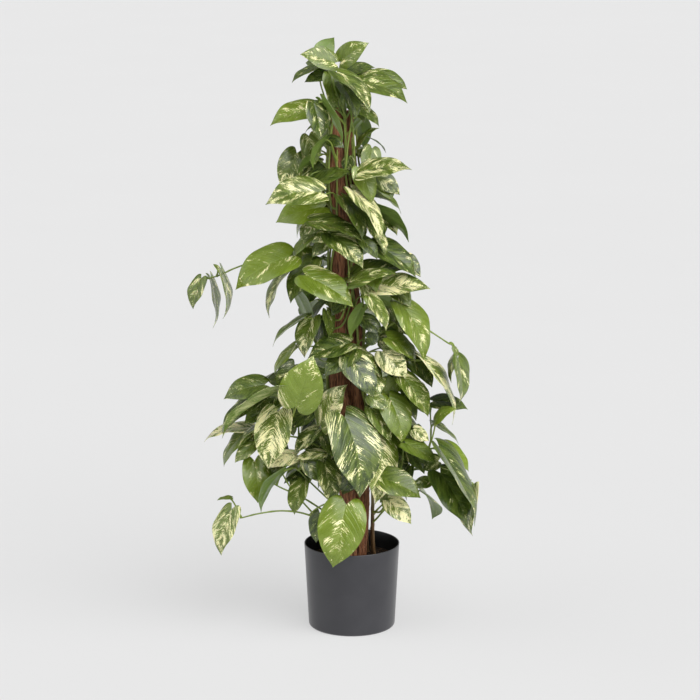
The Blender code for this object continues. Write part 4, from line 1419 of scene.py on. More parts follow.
@dataclass
class Cover:
    """Rule for the leaves that cover a side of the plant which the front doesn't show."""

    support: Support
    count: int
    low: float
    high: float
    reach_low: Pair
    reach_high: Pair
    length_low: Pair
    length_high: Pair
    turns: tuple[float, ...]
    swing: float
    seed: int
    look_seed: int
    narrowing: float = 0.45
    steadying: float = 0.60
    unevenness: float = 0.3
    lean: float = 0.6
    stray: float = 0.1
    tilt: float = 0.5
    outward: Pair = (0.2, 0.9)
    hang: Pair = (0.3, 1.0)
    width: Pair = (0.66, 0.80)
    cream: Pair = (0.05, 0.60)
    tone: Pair = (0.15, 0.80)

    def leaves(self, first: int) -> list[Leaf]:
        """Places the leaves by the rule.

        Args:
            first: Seed of the first leaf, from which the others count up.

        Returns:
            The leaves.
        """
        pick, look = random.Random(self.seed), random.Random(self.look_seed)
        leaves = []
        for number in range(self.count):
            rise = (number + pick.uniform(-self.unevenness, self.unevenness)) / (self.count - 1)
            swing = self.swing * (1 - self.narrowing * rise) * (2 * (number * GOLDEN % 1) - 1)
            turn = self.turns[number % len(self.turns)] + swing
            way = way_at(turn + pick.uniform(-self.stray, self.stray))
            low, high = pick.uniform(*self.reach_low), pick.uniform(*self.reach_high)
            reach = low + (high - low) * rise
            low, high = pick.uniform(*self.length_low), pick.uniform(*self.length_high)
            length = low + (high - low) * rise
            base = self.support.centre(self.low + (self.high - self.low) * rise) + way * reach
            lean = way.cross(UP) * pick.uniform(-self.lean, self.lean)
            lean *= 1 - self.steadying * rise
            hang = way * pick.uniform(*self.outward) + lean - UP * pick.uniform(*self.hang)
            tip = base + hang.normalized() * length
            width = length * pick.uniform(*self.width)
            colouring = (look.uniform(*self.cream), look.uniform(*self.tone))
            leaves.append(Leaf(base, tip, width, way + UP * self.tilt, way, first + number, *colouring))
        return leaves


def covers(support: Support) -> list[Cover]:
    """The covers of the plant.

    Args:
        support: The trunks.

    Returns:
        The cover of the back, then that of the two sides.
    """
    back = Cover(
        support, count=34, low=0.265, high=1.095, reach_low=(0.075, 0.160), reach_high=(0.045, 0.070),
        length_low=(0.085, 0.125), length_high=(0.065, 0.090), turns=(math.pi / 2,), swing=math.radians(62),
        seed=11, look_seed=5,
    )
    sides = Cover(
        support, count=26, low=0.335, high=1.040, reach_low=(0.045, 0.125), reach_high=(0.028, 0.045),
        length_low=(0.070, 0.105), length_high=(0.050, 0.068), turns=(0.0, math.pi), swing=math.radians(52),
        seed=7, look_seed=9,
    )
    return [back, sides]


def front_leaves() -> list[Leaf]:
    """Leaves that show from the front.

    Returns:
        The leaves, in the order of their lists.
    """
    leaves = []
    for number, (x0, z0, x1, z1, width, out0, out1, cream, tone, *shows) in enumerate(SEEN_LEAVES):
        base, tip = seen(x0, z0, out0), seen(x1, z1, out1)
        towards = (EYE - base).normalized()
        facing = towards * (shows[0] if shows else Shows.TOP).value
        leaves.append(Leaf(base, tip, width * MM, facing, towards, number, cream, tone))
    return leaves


@dataclass
class Settling:
    """Finds where each leaf stands among the vines' solids, which settled it clear of its neighbours."""

    climb: Climb
    blade: BladeForm
    petiole: PetioleForm
    nodes: dict[str, Piece]
    tolerance: float = 0.00008
    outs: tuple[int, ...] = (0, 4, -4, 8, -8, 13, -13, 18, -18, 24, -24, 30, -30, 37, 45)
    tips: tuple[int, ...] = (0, 9, -9, 18, -18)
    climbs: tuple[int, ...] = (0, -16, 16, -32)
    tree: KDTree = field(init=False)
    owners: list[int] = field(init=False, default_factory=list)

    def __post_init__(self) -> None:
        """Gathers the vertices of every vine's solid."""
        places = []
        for number in range(self.climb.count):
            verts = self.nodes["vine_%d" % (number + 1)].data.vertices
            places += [vert.co for vert in verts]
            self.owners += [number] * len(verts)
        self.tree = KDTree(len(places))
        for n, place in enumerate(places):
            self.tree.insert(place, n)
        self.tree.balance()

    def hits(self, points: Sequence[Vector]) -> list[int]:
        """Vine numbers of the points that are corners of the solids."""
        near = [self.tree.find(point) for point in points]
        return [self.owners[index] for _, index, away in near if away < self.tolerance]

    def settle(self, leaf: Leaf, stems: Stems) -> Grown | None:
        """Finds the move that a leaf was given, and the root of its petiole.

        Args:
            leaf: The leaf as it is planned.
            stems: Spots that a petiole can grow from.

        Returns:
            The leaf as it stands, or None where the solids have no such leaf.
        """
        best, found = [], None
        for out in self.outs:
            for tip in self.tips:
                moved = leaf._replace(base=leaf.base + leaf.away * out * MM,
                                      tip=leaf.tip + leaf.away * (out + tip) * MM)
                hit = self.hits(self.blade.corners(moved))
                if len(hit) > len(best):
                    best, found = hit, moved
        if found is None:
            return None
        number, place = self.climb.seat(stems, found.base)
        roots = [self.climb.moved_seat(number, place, climb) for climb in self.climbs]
        root = max(roots, key=lambda spot: len(self.hits(self.petiole.solid_ring(found, spot))))
        return Grown(number, found, root)


@dataclass
class Filling:
    """Rule for small leaves between the larger ones, each clear of everything that stands already."""

    climb: Climb
    blade: BladeForm
    petiole: PetioleForm
    # Height, left edge and right edge of the plant as it is seen, in millimetres
    edges: tuple[tuple[float, float, float], ...] = (
        (330, -215, 215), (400, -225, 195), (480, -195, 165), (560, -115, 130), (640, -105, 125),
        (720, -125, 125), (800, -100, 100), (880, -100, 85), (960, -90, 60), (1040, -70, 40),
        (1090, -60, 45),
    )
    tries: int = 1300
    most: int = 92
    inside: float = 0.86
    out: Pair = (-28, 34)
    length: Pair = (0.036, 0.074)
    width: Pair = (0.55, 0.82)
    lean: Pair = (-0.35, 1.0)
    hang: Pair = (0.25, 1.0)
    towards: Pair = (-0.1, 0.8)
    cream: Pair = (0.05, 0.65)
    tone: Pair = (0.05, 0.60)
    face_aside: float = 0.5
    face_up: Pair = (0.0, 0.6)
    seed: int = 23
    first: int = 400
    rows: tuple[float, ...] = (0.0, 0.15, 0.40, 0.70, 0.88)
    columns: tuple[float, ...] = (-1.0, -0.5, 0.0, 0.5, 1.0)
    stalk_samples: int = 6
    root_points: int = 3
    asides: tuple[int, ...] = (0, 5, -5, 10, -10, 16, -16, 22, -22)
    furthers: tuple[int, ...] = (0, 4, 8, -4, 13, 18)
    reach: float = 0.004

    def sheet(self, leaf: Leaf) -> BVHTree:
        """Coarse blade to test against others."""
        places = self.blade.surface(leaf, *blade_points(self.rows, self.columns))
        return BVHTree.FromPolygons(places.tolist(), blade_faces(len(self.rows), len(self.columns)))

    def stalk(self, grown: Grown) -> BVHTree:
        """Thin ribbon along a petiole, without its end under its own blade."""
        return self.ribbon(self.petiole.path(grown.leaf, grown.root, self.stalk_samples)[:-1])

    def ribbon(self, points: Sequence[Vector]) -> BVHTree:
        """Crossed ribbon along a path, to test against blades.

        Args:
            points: The path.

        Returns:
            The ribbon.
        """
        across, deep = Vector((self.reach / 2, 0, 0)), Vector((0, self.reach / 2, 0))
        verts, faces = [], []
        for point in points:
            verts += [point + across, point - across, point + deep, point - deep]
        for n in range(len(points) - 1):
            a = 4 * n
            faces += [(a, a + 1, a + 5, a + 4), (a + 2, a + 3, a + 7, a + 6)]
        return BVHTree.FromPolygons(verts, faces)

    def planned(self, pick: random.Random, number: int) -> Leaf:
        """Draws one leaf to try.

        Args:
            pick: Where its sizes are drawn from.
            number: Number of the try.

        Returns:
            The leaf.
        """
        z = pick.uniform(self.edges[0][0], self.edges[-1][0])
        left, right = smooth_rows(self.edges, z)
        x = (left + right) / 2 + pick.uniform(-self.inside, self.inside) * (right - left) / 2
        base = seen(x, z, pick.uniform(*self.out))
        outer = math.copysign(1.0, x)
        aside = outer * pick.uniform(*self.lean)
        way = Vector((aside, -pick.uniform(*self.towards), -pick.uniform(*self.hang))).normalized()
        length = pick.uniform(*self.length)
        towards = (EYE - base).normalized()
        facing = towards + Vector((self.face_aside * outer, 0, pick.uniform(*self.face_up)))
        width = length * pick.uniform(*self.width)
        colouring = (pick.uniform(*self.cream), pick.uniform(*self.tone))
        return Leaf(base, base + way * length, width, facing, towards, self.first + number, *colouring)

    def stalk_with_room(self, knots: Rows, step: float,
                        others: Sequence[BVHTree]) -> tuple[int, list[Vector]] | None:
        """Moves a long stalk aside or outwards until it cuts no blade and no trunk.

        Args:
            knots: Planned course, as x, z and how far out.
            step: About how far apart the points of its path are.
            others: What it keeps clear of, apart from its own root.

        Returns:
            Its vine's number and its path, or None where there is no room.
        """
        for aside, further in product(self.asides, self.furthers):
            moved = [(x + aside, z, out + further) for x, z, out in knots]
            vine, path = self.climb.shoot(moved, step)
            ribbon = self.ribbon(path[self.root_points:])
            if not any(ribbon.overlap(other) for other in others):
                return vine, path
        return None

    def grow(self, grown: Sequence[Grown], stems: Stems,
             solids: Sequence[BVHTree]) -> list[Grown]:
        """Finds room for the small leaves.

        Args:
            grown: Leaves that stand already.
            stems: Spots that a petiole can grow from.
            solids: Other things that a leaf keeps clear of.

        Returns:
            The small leaves.
        """
        pick = random.Random(self.seed)
        sheets = [self.sheet(item.leaf) for item in grown]
        stalks = [self.stalk(item) for item in grown]
        added: list[Grown] = []
        for number in range(self.tries):
            leaf = self.planned(pick, number)
            face = self.sheet(leaf)
            if any(face.overlap(other) for other in (*sheets, *stalks, *solids)):
                continue
            vine, root = self.climb.seat(stems, leaf.base)
            item = Grown(vine, leaf, root)
            stalk = self.stalk(item)
            if any(stalk.overlap(other) for other in sheets):
                continue
            added.append(item)
            sheets.append(face)
            stalks.append(stalk)
            if len(added) == self.most:
                break
        log.info("small leaves: %d of %d tries", len(added), number + 1)
        return added


@dataclass
class Foliage:
    """The blades of one vine, as one piece."""

    blade: BladeForm
    material: Material
    row_ease: float = 0.28
    droop: float = 0.07
    droop_from: float = 0.75
    ripple: float = 0.014
    ripple_pitch: float = 14.0
    ripple_shift: float = 3.0
    margin_droop: float = 0.07
    twist: float = 0.30
    twist_shift: float = 5.0
    midrib_width: float = 0.07
    midrib_above: float = 0.5
    sharp_angle: float = math.radians(55)

    def grid(self) -> tuple[Array, Array]:
        """Places of a blade's points.

        Returns:
            Rows from lobe to tip, closer together near the tip, and columns from edge to edge.
        """
        share = np.arange(self.blade.rows) / self.blade.rows
        rows = (1 - self.row_ease) * share + self.row_ease * np.sin(math.pi / 2 * share)
        right = np.array(self.blade.columns)
        return rows, np.concatenate([-right[:0:-1], right])

    def sheets(self, leaf: Leaf) -> tuple[Array, Array]:
        """Places on both faces of a blade, row by row and ending in the tip.

        Args:
            leaf: The leaf.

        Returns:
            The upper and the lower face.
        """
        t, v = blade_points(*self.grid())
        axes, habit = self.blade.axes(leaf), self.blade.habit(leaf)
        edge = np.abs(v) ** 3
        lift = self.ripple * axes.length * (edge * (1 - t ** 4))
        lift = lift * np.sin(self.ripple_pitch * t + habit.start * self.ripple_shift + 2 * v)
        lift -= self.droop * axes.length * np.maximum((t - self.droop_from) / (1 - self.droop_from), 0) ** 2
        lift -= self.margin_droop * axes.width * edge * (1 - t ** 2)
        lift += self.twist * math.sin(habit.start * self.twist_shift) * v * axes.width / 2 * t * (1 - t)
        normal = np.array(axes.normal)
        middle = self.blade.surface(leaf, t, v, self.blade.crease_round) + np.outer(lift, normal)
        sunk = self.blade.midrib_depth * (np.exp(-(v / self.midrib_width) ** 2) * (1 - t ** 2))
        half = self.blade.thick / 2
        upper = middle + np.outer(half - self.midrib_above * sunk, normal)
        return upper, middle - np.outer(half + sunk, normal)

    def faces(self, start: int) -> list[tuple[int, ...]]:
        """Faces of a closed blade.

        Args:
            start: Number of its first vertex.

        Returns:
            The faces, as vertex numbers.
        """
        rows, columns = self.grid()
        wide, deep = len(columns), len(rows)
        tip = wide * deep
        count = tip + 1
        upper = blade_faces(deep, wide)
        lower = [tuple(n + count for n in reversed(face)) for face in upper]
        rim = list(range(wide)) + [i * wide + wide - 1 for i in range(1, deep)] + [tip]
        rim += [i * wide for i in range(deep - 1, 0, -1)]
        edge = [(b, a, a + count, b + count) for a, b in zip(rim, rim[1:] + rim[:1])]
        return [tuple(n + start for n in face) for face in upper + lower + edge]

    def build(self, number: int, leaves: Sequence[Leaf]) -> Piece:
        """Builds the blades of a vine.

        Args:
            number: The vine's number, from 1.
            leaves: Its leaves.

        Returns:
            The piece.
        """
        t, v = blade_points(*self.grid())
        across, along = 0.5 + 0.5 * v, self.blade.rib(t, v)
        verts, faces = [], []
        numbers = {"seed": [], "cream": [], "tone": [], "upper": []}
        for leaf in leaves:
            upper, lower = self.sheets(leaf)
            faces += self.faces(len(verts))
            verts += upper.tolist() + lower.tolist()
            numbers["seed"] += [leaf.seed * GOLDEN % 1] * (2 * len(upper))
            numbers["cream"] += [leaf.cream] * (2 * len(upper))
            numbers["tone"] += [leaf.tone] * (2 * len(upper))
            numbers["upper"] += [1.0] * len(upper) + [0.0] * len(lower)
        piece = new_piece("vine_%d_leaves" % number, verts, [], faces)
        mesh = piece.data
        for name, values in numbers.items():
            keep_number(mesh, name, values)
        corner = np.zeros(len(mesh.loops), dtype=np.int32)
        mesh.loops.foreach_get("vertex_index", corner)
        corner %= len(t)
        uv = mesh.uv_layers.new(name="blade")
        uv.data.foreach_set("uv", np.stack([across[corner], along[corner]], axis=1).ravel())
        mesh.shade_smooth()
        mesh.set_sharp_from_angle(angle=self.sharp_angle)
        mesh.materials.append(self.material)
        return piece


@dataclass
class Stalks:
    """Stem, side shoots, petioles and rootlets of one vine, as one piece."""

    climb: Climb
    petiole: PetioleForm
    material: Material
    sides: int = 10
    stem_step: float = 0.006
    node_pitch: float = 0.042
    node_swell: float = 0.28
    node_run: float = 0.0035
    shoot_radius: float = 0.0021
    shoot_fine: float = 0.008
    shoot_draw: float = 0.35
    tip_draw: float = 0.5
    node_shift: float = 0.013
    rootlets_each: int = 9
    rootlet_radius: float = 0.00055
    rootlet_draw: float = 0.6
    rootlet_reach: Pair = (0.006, 0.012)
    rootlet_drop: Pair = (0.5, 1.1)
    rootlet_bend: float = 0.7
    rootlet_inward: float = 0.25
    rootlet_sink: float = 0.001
    rootlet_step: float = 0.0022
    rootlet_seed: int = 40
    young_wood: float = 0.12
    turns_green: Pair = (0.18, 0.42)
    stem_tone: float = 0.75
    shoot_tone: float = 0.6

    def swelling(self, run: float) -> float:
        """How much thicker a stem is at a distance along it, because of its nodes."""
        off = (run + self.node_pitch / 2) % self.node_pitch - self.node_pitch / 2
        return 1 + self.node_swell * math.exp(-(off / self.node_run) ** 2)

    def stem(self, number: int) -> Strand:
        """The climbing stem, woody low down.

        Args:
            number: The vine, from 0.

        Returns:
            The strand.
        """
        low, high = self.climb.soil_top - self.climb.root_depth, self.climb.end_of(number)
        count = round((high - low) / self.stem_step)
        levels = [low + (high - low) * n / count for n in range(count + 1)]
        radii = [self.climb.radius(z) * self.swelling(z + number * self.node_shift) for z in levels]
        radii[-1] *= self.tip_draw
        woody = [1.0 - (1.0 - self.young_wood) * soft_step(z, *self.turns_green) for z in levels]
        return Strand([self.climb.point(number, z) for z in levels], radii, woody, self.stem_tone)

    def shoot(self, path: Sequence[Vector]) -> Strand:
        """A side shoot, thinner towards its end.

        Args:
            path: Its points.

        Returns:
            The strand.
        """
        radii = []
        for n in range(len(path)):
            drawn = self.shoot_radius * (1 - self.shoot_draw * n / len(path))
            radii.append(drawn * self.swelling(n * self.shoot_fine))
        return Strand(list(path), radii, [0.0] * len(path), self.shoot_tone)

    def rootlets(self, number: int) -> list[Strand]:
        """Short brown rootlets that reach from the stem's nodes for the trunks.

        Args:
            number: The vine, from 0.

        Returns:
            The strands.
        """
        pick = random.Random(number + self.rootlet_seed)
        strands = []
        for n in range(self.rootlets_each):
            run = (self.climb.end_of(number) - self.climb.soil_top) * (n + 0.5) / self.rootlets_each
            shift = number * self.node_shift
            level = round((self.climb.soil_top + run + shift) / self.node_pitch) * self.node_pitch - shift
            start = self.climb.point(number, level)
            inward = (self.climb.support.centre(level) - start).normalized()
            along = inward.cross(UP) * pick.choice((-1, 1))
            reach = pick.uniform(*self.rootlet_reach)
            bend = start + along * reach * self.rootlet_bend + inward * self.rootlet_sink
            drop = UP * (-pick.uniform(*self.rootlet_drop) * reach)
            path = curve_points([start, bend, bend + drop + inward * reach * self.rootlet_inward],
                                self.rootlet_step)
            radii = [self.rootlet_radius * (1 - self.rootlet_draw * k / len(path)) for k in range(len(path))]
            strands.append(Strand(path, radii, [1.0] * len(path), 0.5))
        return strands

    def tree(self) -> GeometryTree:
        """Geometry Nodes that sweep a round section along every strand.

        Returns:
            The tree.
        """
        tree = GeometryTree("swept_strands")
        sides = tree.size("Sides", self.sides, "NodeSocketInt")
        girth = tree.add("GeometryNodeInputNamedAttribute", {"Name": "girth"}, data_type="FLOAT")
        radius = next(socket for socket in girth.outputs if socket.enabled)
        curves = tree.add("GeometryNodeMeshToCurve", {0: tree.source.outputs[0]})
        section = tree.add("GeometryNodeCurvePrimitiveCircle", {"Resolution": sides, "Radius": 1.0})
        inputs = {"Curve": curves.outputs[0], "Profile Curve": section.outputs[0], "Scale": radius}
        swept = tree.add("GeometryNodeCurveToMesh", {**inputs, "Fill Caps": True})
        smooth = tree.add("GeometryNodeSetShadeSmooth", {0: swept.outputs[0]})
        tree.close(smooth.outputs[0], self.material)
        return tree

    def build(self, number: int, strands: Sequence[Strand]) -> Piece:
        """Builds the stalks of a vine.

        Args:
            number: The vine's number, from 1.
            strands: Its stem, shoots, petioles and rootlets.

        Returns:
            The piece.
        """
        verts, edges, girth, woody, tone = [], [], [], [], []
        for strand in strands:
            start = len(verts)
            verts += strand.points
            edges += [(start + n, start + n + 1) for n in range(len(strand.points) - 1)]
            girth += strand.radii
            woody += strand.woody
            tone += [strand.tone] * len(strand.points)
        piece = new_piece("vine_%d_stalks" % number, verts, edges, [])
        for name, values in (("girth", girth), ("woody", woody), ("tone", tone)):
            keep_number(piece.data, name, values)
        self.tree().grow(piece)
        return piece


@dataclass
class Trunk:
    """One bark-covered trunk with grooves and loose fibres.

    Grain, furrow and flakes say how often the bark changes round the trunk, and how often up it.
    """

    name: str
    rows: Rows
    start: float
    support: Support
    soil_top: float
    material: Material
    sides: int = 96
    ring_step: float = 0.0042
    groove: float = 0.0011
    hollow: float = 0.0016
    hollow_limit: float = 0.12
    flake: float = 0.0006
    grain: Pair = (7.0, 16.0)
    furrow: Pair = (2.6, 26.0)
    flakes: Pair = (3.5, 75.0)
    flakes_apart: float = 4.0
    ridges_below: float = 0.002
    ridges_full: float = 0.020
    bark_below: float = 0.004
    bark_full: float = 0.006
    crown: float = 0.003
    fibre_density: float = 9000.0
    fibre_length: float = 0.013
    fibre_radius: float = 0.00028
    fibre_tilt: float = 0.16
    fibre_scale: tuple[Sequence[float], Sequence[float]] = ((0.6, 0.6, 0.4), (1.3, 1.3, 1.3))
    fibres_from: float = 0.01

    def relief(self, turn: float, z: float) -> float:
        """Height of the bark above the trunk's ridges.

        Args:
            turn: Angle round the trunk.
            z: Height of the place.

        Returns:
            The height in metres.
        """
        way, start = way_at(turn), self.start
        grain = noise.noise(way * self.grain[0] + Vector((0, start, z * self.grain[1])))
        furrow = noise.noise(way * self.furrow[0] + Vector((start, 0, z * self.furrow[1])))
        flakes = noise.noise(way * self.flakes[0] + Vector((start, self.flakes_apart, z * self.flakes[1])))
        return self.groove * grain + self.hollow * min(furrow, self.hollow_limit) + self.flake * flakes

    def ring(self, z: float) -> list[Vector]:
        """Corners of the trunk's outline, rounder and smoother where the soil hides it.

        Args:
            z: Height of the ring.

        Returns:
            The corners.
        """
        middle, radius = self.support.at(self.rows, z)
        rough = soft_step(z, self.soil_top - self.ridges_below, self.soil_top + self.ridges_full)
        bare = soft_step(z, self.soil_top - self.bark_below, self.soil_top + self.bark_full)
        corners = []
        for k in range(self.sides):
            turn = FULL_TURN * k / self.sides
            ridge = sum(part * math.sin(lobes * turn + z * pitch + self.start)
                        for part, lobes, pitch in self.support.ridges)
            reach = radius * (1 + self.support.relief * rough * ridge) + bare * self.relief(turn, z)
            corners.append(middle + way_at(turn) * reach)
        return corners

    def tree(self) -> GeometryTree:
        """Geometry Nodes that strew loose upright fibres over the bark.

        Returns:
            The tree.
        """
        tree = GeometryTree("bark_fibres")
        density = tree.size("Fibres per square metre", self.fibre_density)
        length = tree.size("Fibre length", self.fibre_length)
        radius = tree.size("Fibre radius", self.fibre_radius)
        points = tree.scatter(self.soil_top + self.fibres_from, density, seed=3)
        inputs = {"Vertices": 4, "Side Segments": 3, "Radius": radius, "Depth": length}
        fibre = tree.add("GeometryNodeMeshCylinder", inputs).outputs[0]
        lean = self.fibre_tilt
        tilt = tree.chance((-lean, -lean, 0), (lean, lean, ANY_TURN))
        scale = tree.chance(*self.fibre_scale, seed=8)
        loose = tree.store(tree.strew(fibre, points, tilt, scale), "loose", 1.0)
        smooth = tree.add("GeometryNodeSetShadeSmooth", {0: tree.join(loose, tree.source.outputs[0])})
        tree.close(smooth.outputs[0], self.material)
        return tree

    def build(self) -> Piece:
        """Builds the trunk.

        Returns:
            The piece.
        """
        low, high = self.rows[0][0] * MM, self.rows[-1][0] * MM
        count = round((high - low) / self.ring_step)
        levels = [low + (high - low) * n / count for n in range(count + 1)]
        verts = [corner for z in levels for corner in self.ring(z)]
        faces = ring_quads(0, self.sides, count)
        last = count * self.sides
        foot, head = len(verts), len(verts) + 1
        crown = self.support.at(self.rows, high)[0] + UP * self.crown
        verts += [self.support.at(self.rows, low)[0], crown]
        for k in range(self.sides):
            m = (k + 1) % self.sides
            faces += [(foot, m, k), (head, last + k, last + m)]
        piece = new_piece(self.name, verts, [], faces)
        keep_number(piece.data, "loose", [0.0] * len(verts))
        self.tree().grow(piece)
        return piece


@dataclass
class Pot:
    """Round tapering pot: thin wall, rounded rim and foot, drain holes in its floor."""

    material: Material
    height: float
    rim_radius: float
    base_radius: float = 0.088
    wall: float = 0.0022
    floor: float = 0.003
    foot_round: float = 0.006
    rim_round: float = 0.0009
    corner: float = 0.004
    foot_ring: float = 0.02
    wall_rings: tuple[float, ...] = (0.05, 0.10, 0.15)
    arc_steps: int = 6
    wall_share: float = 0.6
    floor_share: float = 0.9
    sides: int = 160
    sharp_angle: float = math.radians(38)
    drain_count: int = 5
    drain_radius: float = 0.005
    drain_ring: float = 0.060
    drain_sides: int = 24
    drain_past: float = 0.01

    def radius(self, z: float) -> float:
        """Outer radius of the wall at a height."""
        return self.base_radius + (self.rim_radius - self.base_radius) * z / self.height

    def profile(self) -> list[Pair]:
        """The wall in section, from the inside of the floor up, over the rim, down and under.

        Returns:
            Radius and height of each ring.
        """
        points = [(self.radius(self.floor) - self.wall - self.corner, self.floor)]
        for z in (self.corner, *self.wall_rings):
            points.append((self.radius(self.floor + z) - self.wall, self.floor + z))
        middle = self.radius(self.height) - self.wall / 2
        top = self.height - self.rim_round
        for n in range(self.arc_steps + 1):
            turn = math.pi * n / self.arc_steps
            points.append((middle - self.wall / 2 * math.cos(turn), top + self.rim_round * math.sin(turn)))
        points += [(self.radius(z), z) for z in (*reversed(self.wall_rings), self.foot_ring)]
        for n in range(self.arc_steps + 1):
            turn = math.pi / 2 * n / self.arc_steps
            radius = self.radius(self.foot_round) - self.foot_round * (1 - math.cos(turn))
            points.append((radius, self.foot_round * (1 - math.sin(turn))))
        return points

    def is_inside(self, place: Vector) -> bool:
        """Tells whether a corner is on the floor's upper face or on the wall's inside face, where the pot is
        painted darker as shade.
        """
        within = place.xy.length < self.radius(place.z) - self.wall * self.wall_share
        return within and self.floor * self.floor_share < place.z < self.height - self.rim_round / 2

    def build(self) -> Piece:
        """Builds the pot.

        Returns:
            The piece.
        """
        profile = self.profile()
        verts = [corner for radius, z in profile for corner in level_ring(radius, z, self.sides)]
        faces = ring_quads(0, self.sides, len(profile) - 1, flip=True)
        last = (len(profile) - 1) * self.sides
        faces.append(tuple(range(self.sides)))
        faces.append(tuple(last + k for k in reversed(range(self.sides))))
        piece = new_piece("pot_shell", verts, [], faces)
        self.drill(piece)
        mesh = piece.data
        # Marks the inside of the pot, which the material paints darker as shade
        keep_number(mesh, "inside", [float(self.is_inside(vert.co)) for vert in mesh.vertices])
        mesh.materials.clear()
        mesh.materials.append(self.material)
        mesh.shade_smooth()
        mesh.set_sharp_from_angle(angle=self.sharp_angle)
        return piece

    def drill(self, piece: Piece) -> None:
        """Cuts the drain holes through the pot's floor.

        Args:
            piece: The pot.
        """
        verts, faces, sides = [], [], self.drain_sides
        for n in range(self.drain_count):
            middle = way_at(FULL_TURN * (n + 0.5) / self.drain_count) * self.drain_ring
            start = len(verts)
            for z in (-self.drain_past, self.floor + self.drain_past):
                for k in range(sides):
                    verts.append(middle + way_at(FULL_TURN * k / sides) * self.drain_radius + UP * z)
            faces += ring_quads(start, sides, 1)
            faces.append(tuple(start + k for k in reversed(range(sides))))
            faces.append(tuple(start + sides + k for k in range(sides)))
        cutter = new_piece("drain_cutter", verts, [], faces)
        change = piece.modifiers.new("drain_holes", "BOOLEAN")
        change.operation = "DIFFERENCE"
        change.solver = "EXACT"
        change.object = cutter
        keep_result(piece)
        bpy.data.objects.remove(cutter)


@dataclass
class SoilBed:
    """Soil with an uneven top, crumbs and flecks of bark, closed under by a flat face."""

    material: Material
    pot: Pot
    top: float
    rings: int = 60
    sides: int = 160
    uneven: float = 0.002
    # How often the waves change across and from front to back; pitch, shift and height of the lumps
    waves: Pair = (95.0, 110.0)
    lumps: tuple[tuple[float, float, float], ...] = ((90, 0, 0.0011), (300, 5, 0.0005))
    mound: float = 0.0012
    level_from: float = 0.85
    foot_draw: float = 0.004
    gap: float = 0.0004
    crumb_density: float = 52000.0
    crumb_radius: float = 0.0012
    crumb_scale: tuple[Sequence[float], Sequence[float]] = ((0.3, 0.4, 0.3), (1.0, 1.7, 0.8))
    crumbs_below: float = 0.006

    def level(self, x: float, y: float) -> float:
        """Height of the soil's surface, uneven but for its edge.

        Args:
            x: Place across.
            y: Place from front to back.

        Returns:
            The height.
        """
        far = math.hypot(x, y) / self.pot.radius(self.top)
        lumps = sum(noise.noise(Vector((x * pitch, y * pitch, shift))) * height
                    for pitch, shift, height in self.lumps)
        wave = self.uneven * math.sin(x * self.waves[0] + 1) * math.cos(y * self.waves[1])
        middle = 1 - soft_step(far, self.level_from, 1.0)
        return self.top + (wave + lumps) * middle + self.mound * (1 - far)

    def tree(self) -> GeometryTree:
        """Geometry Nodes that strew crumbs over the soil's top.

        Returns:
            The tree.
        """
        tree = GeometryTree("soil_crumbs")
        density = tree.size("Crumbs per square metre", self.crumb_density)
        radius = tree.size("Crumb radius", self.crumb_radius)
        points = tree.scatter(self.top - self.crumbs_below, density, seed=21)
        crumb = tree.add("GeometryNodeMeshIcoSphere", {"Radius": radius, "Subdivisions": 1}).outputs[0]
        tint = tree.add("FunctionNodeRandomValue", {"Seed": 9}, data_type="FLOAT")
        value = next(socket for socket in tint.outputs if socket.enabled)
        turn, scale = tree.chance((0, 0, 0), [ANY_TURN] * 3), tree.chance(*self.crumb_scale, seed=5)
        crumbs = tree.strew(crumb, tree.store(points, "tint", value), turn, scale)
        tree.close(tree.join(crumbs, tree.source.outputs[0]), self.material)
        return tree

    def build(self) -> Piece:
        """Builds the soil.

        Returns:
            The piece.
        """
        low = self.pot.floor + self.gap
        edge = self.pot.radius(self.top) - self.pot.wall - self.gap
        foot = self.pot.radius(low + self.foot_draw) - self.pot.wall - self.gap - self.foot_draw
        verts = [(0, 0, self.level(0, 0))]
        for n in range(1, self.rings + 1):
            for x, y, _ in level_ring(edge * n / self.rings, self.top, self.sides):
                verts.append((x, y, self.level(x, y)))
        verts += level_ring(foot, low, self.sides)
        faces = [(0, 1 + k, 1 + (k + 1) % self.sides) for k in range(self.sides)]
        faces += ring_quads(1, self.sides, self.rings, flip=True)
        last = 1 + self.rings * self.sides
        faces.append(tuple(last + k for k in reversed(range(self.sides))))
        piece = new_piece("soil_bed", verts, [], faces)
        piece.data.shade_smooth()
        keep_number(piece.data, "tint", [0.0] * len(verts))
        self.tree().grow(piece)
        return piece


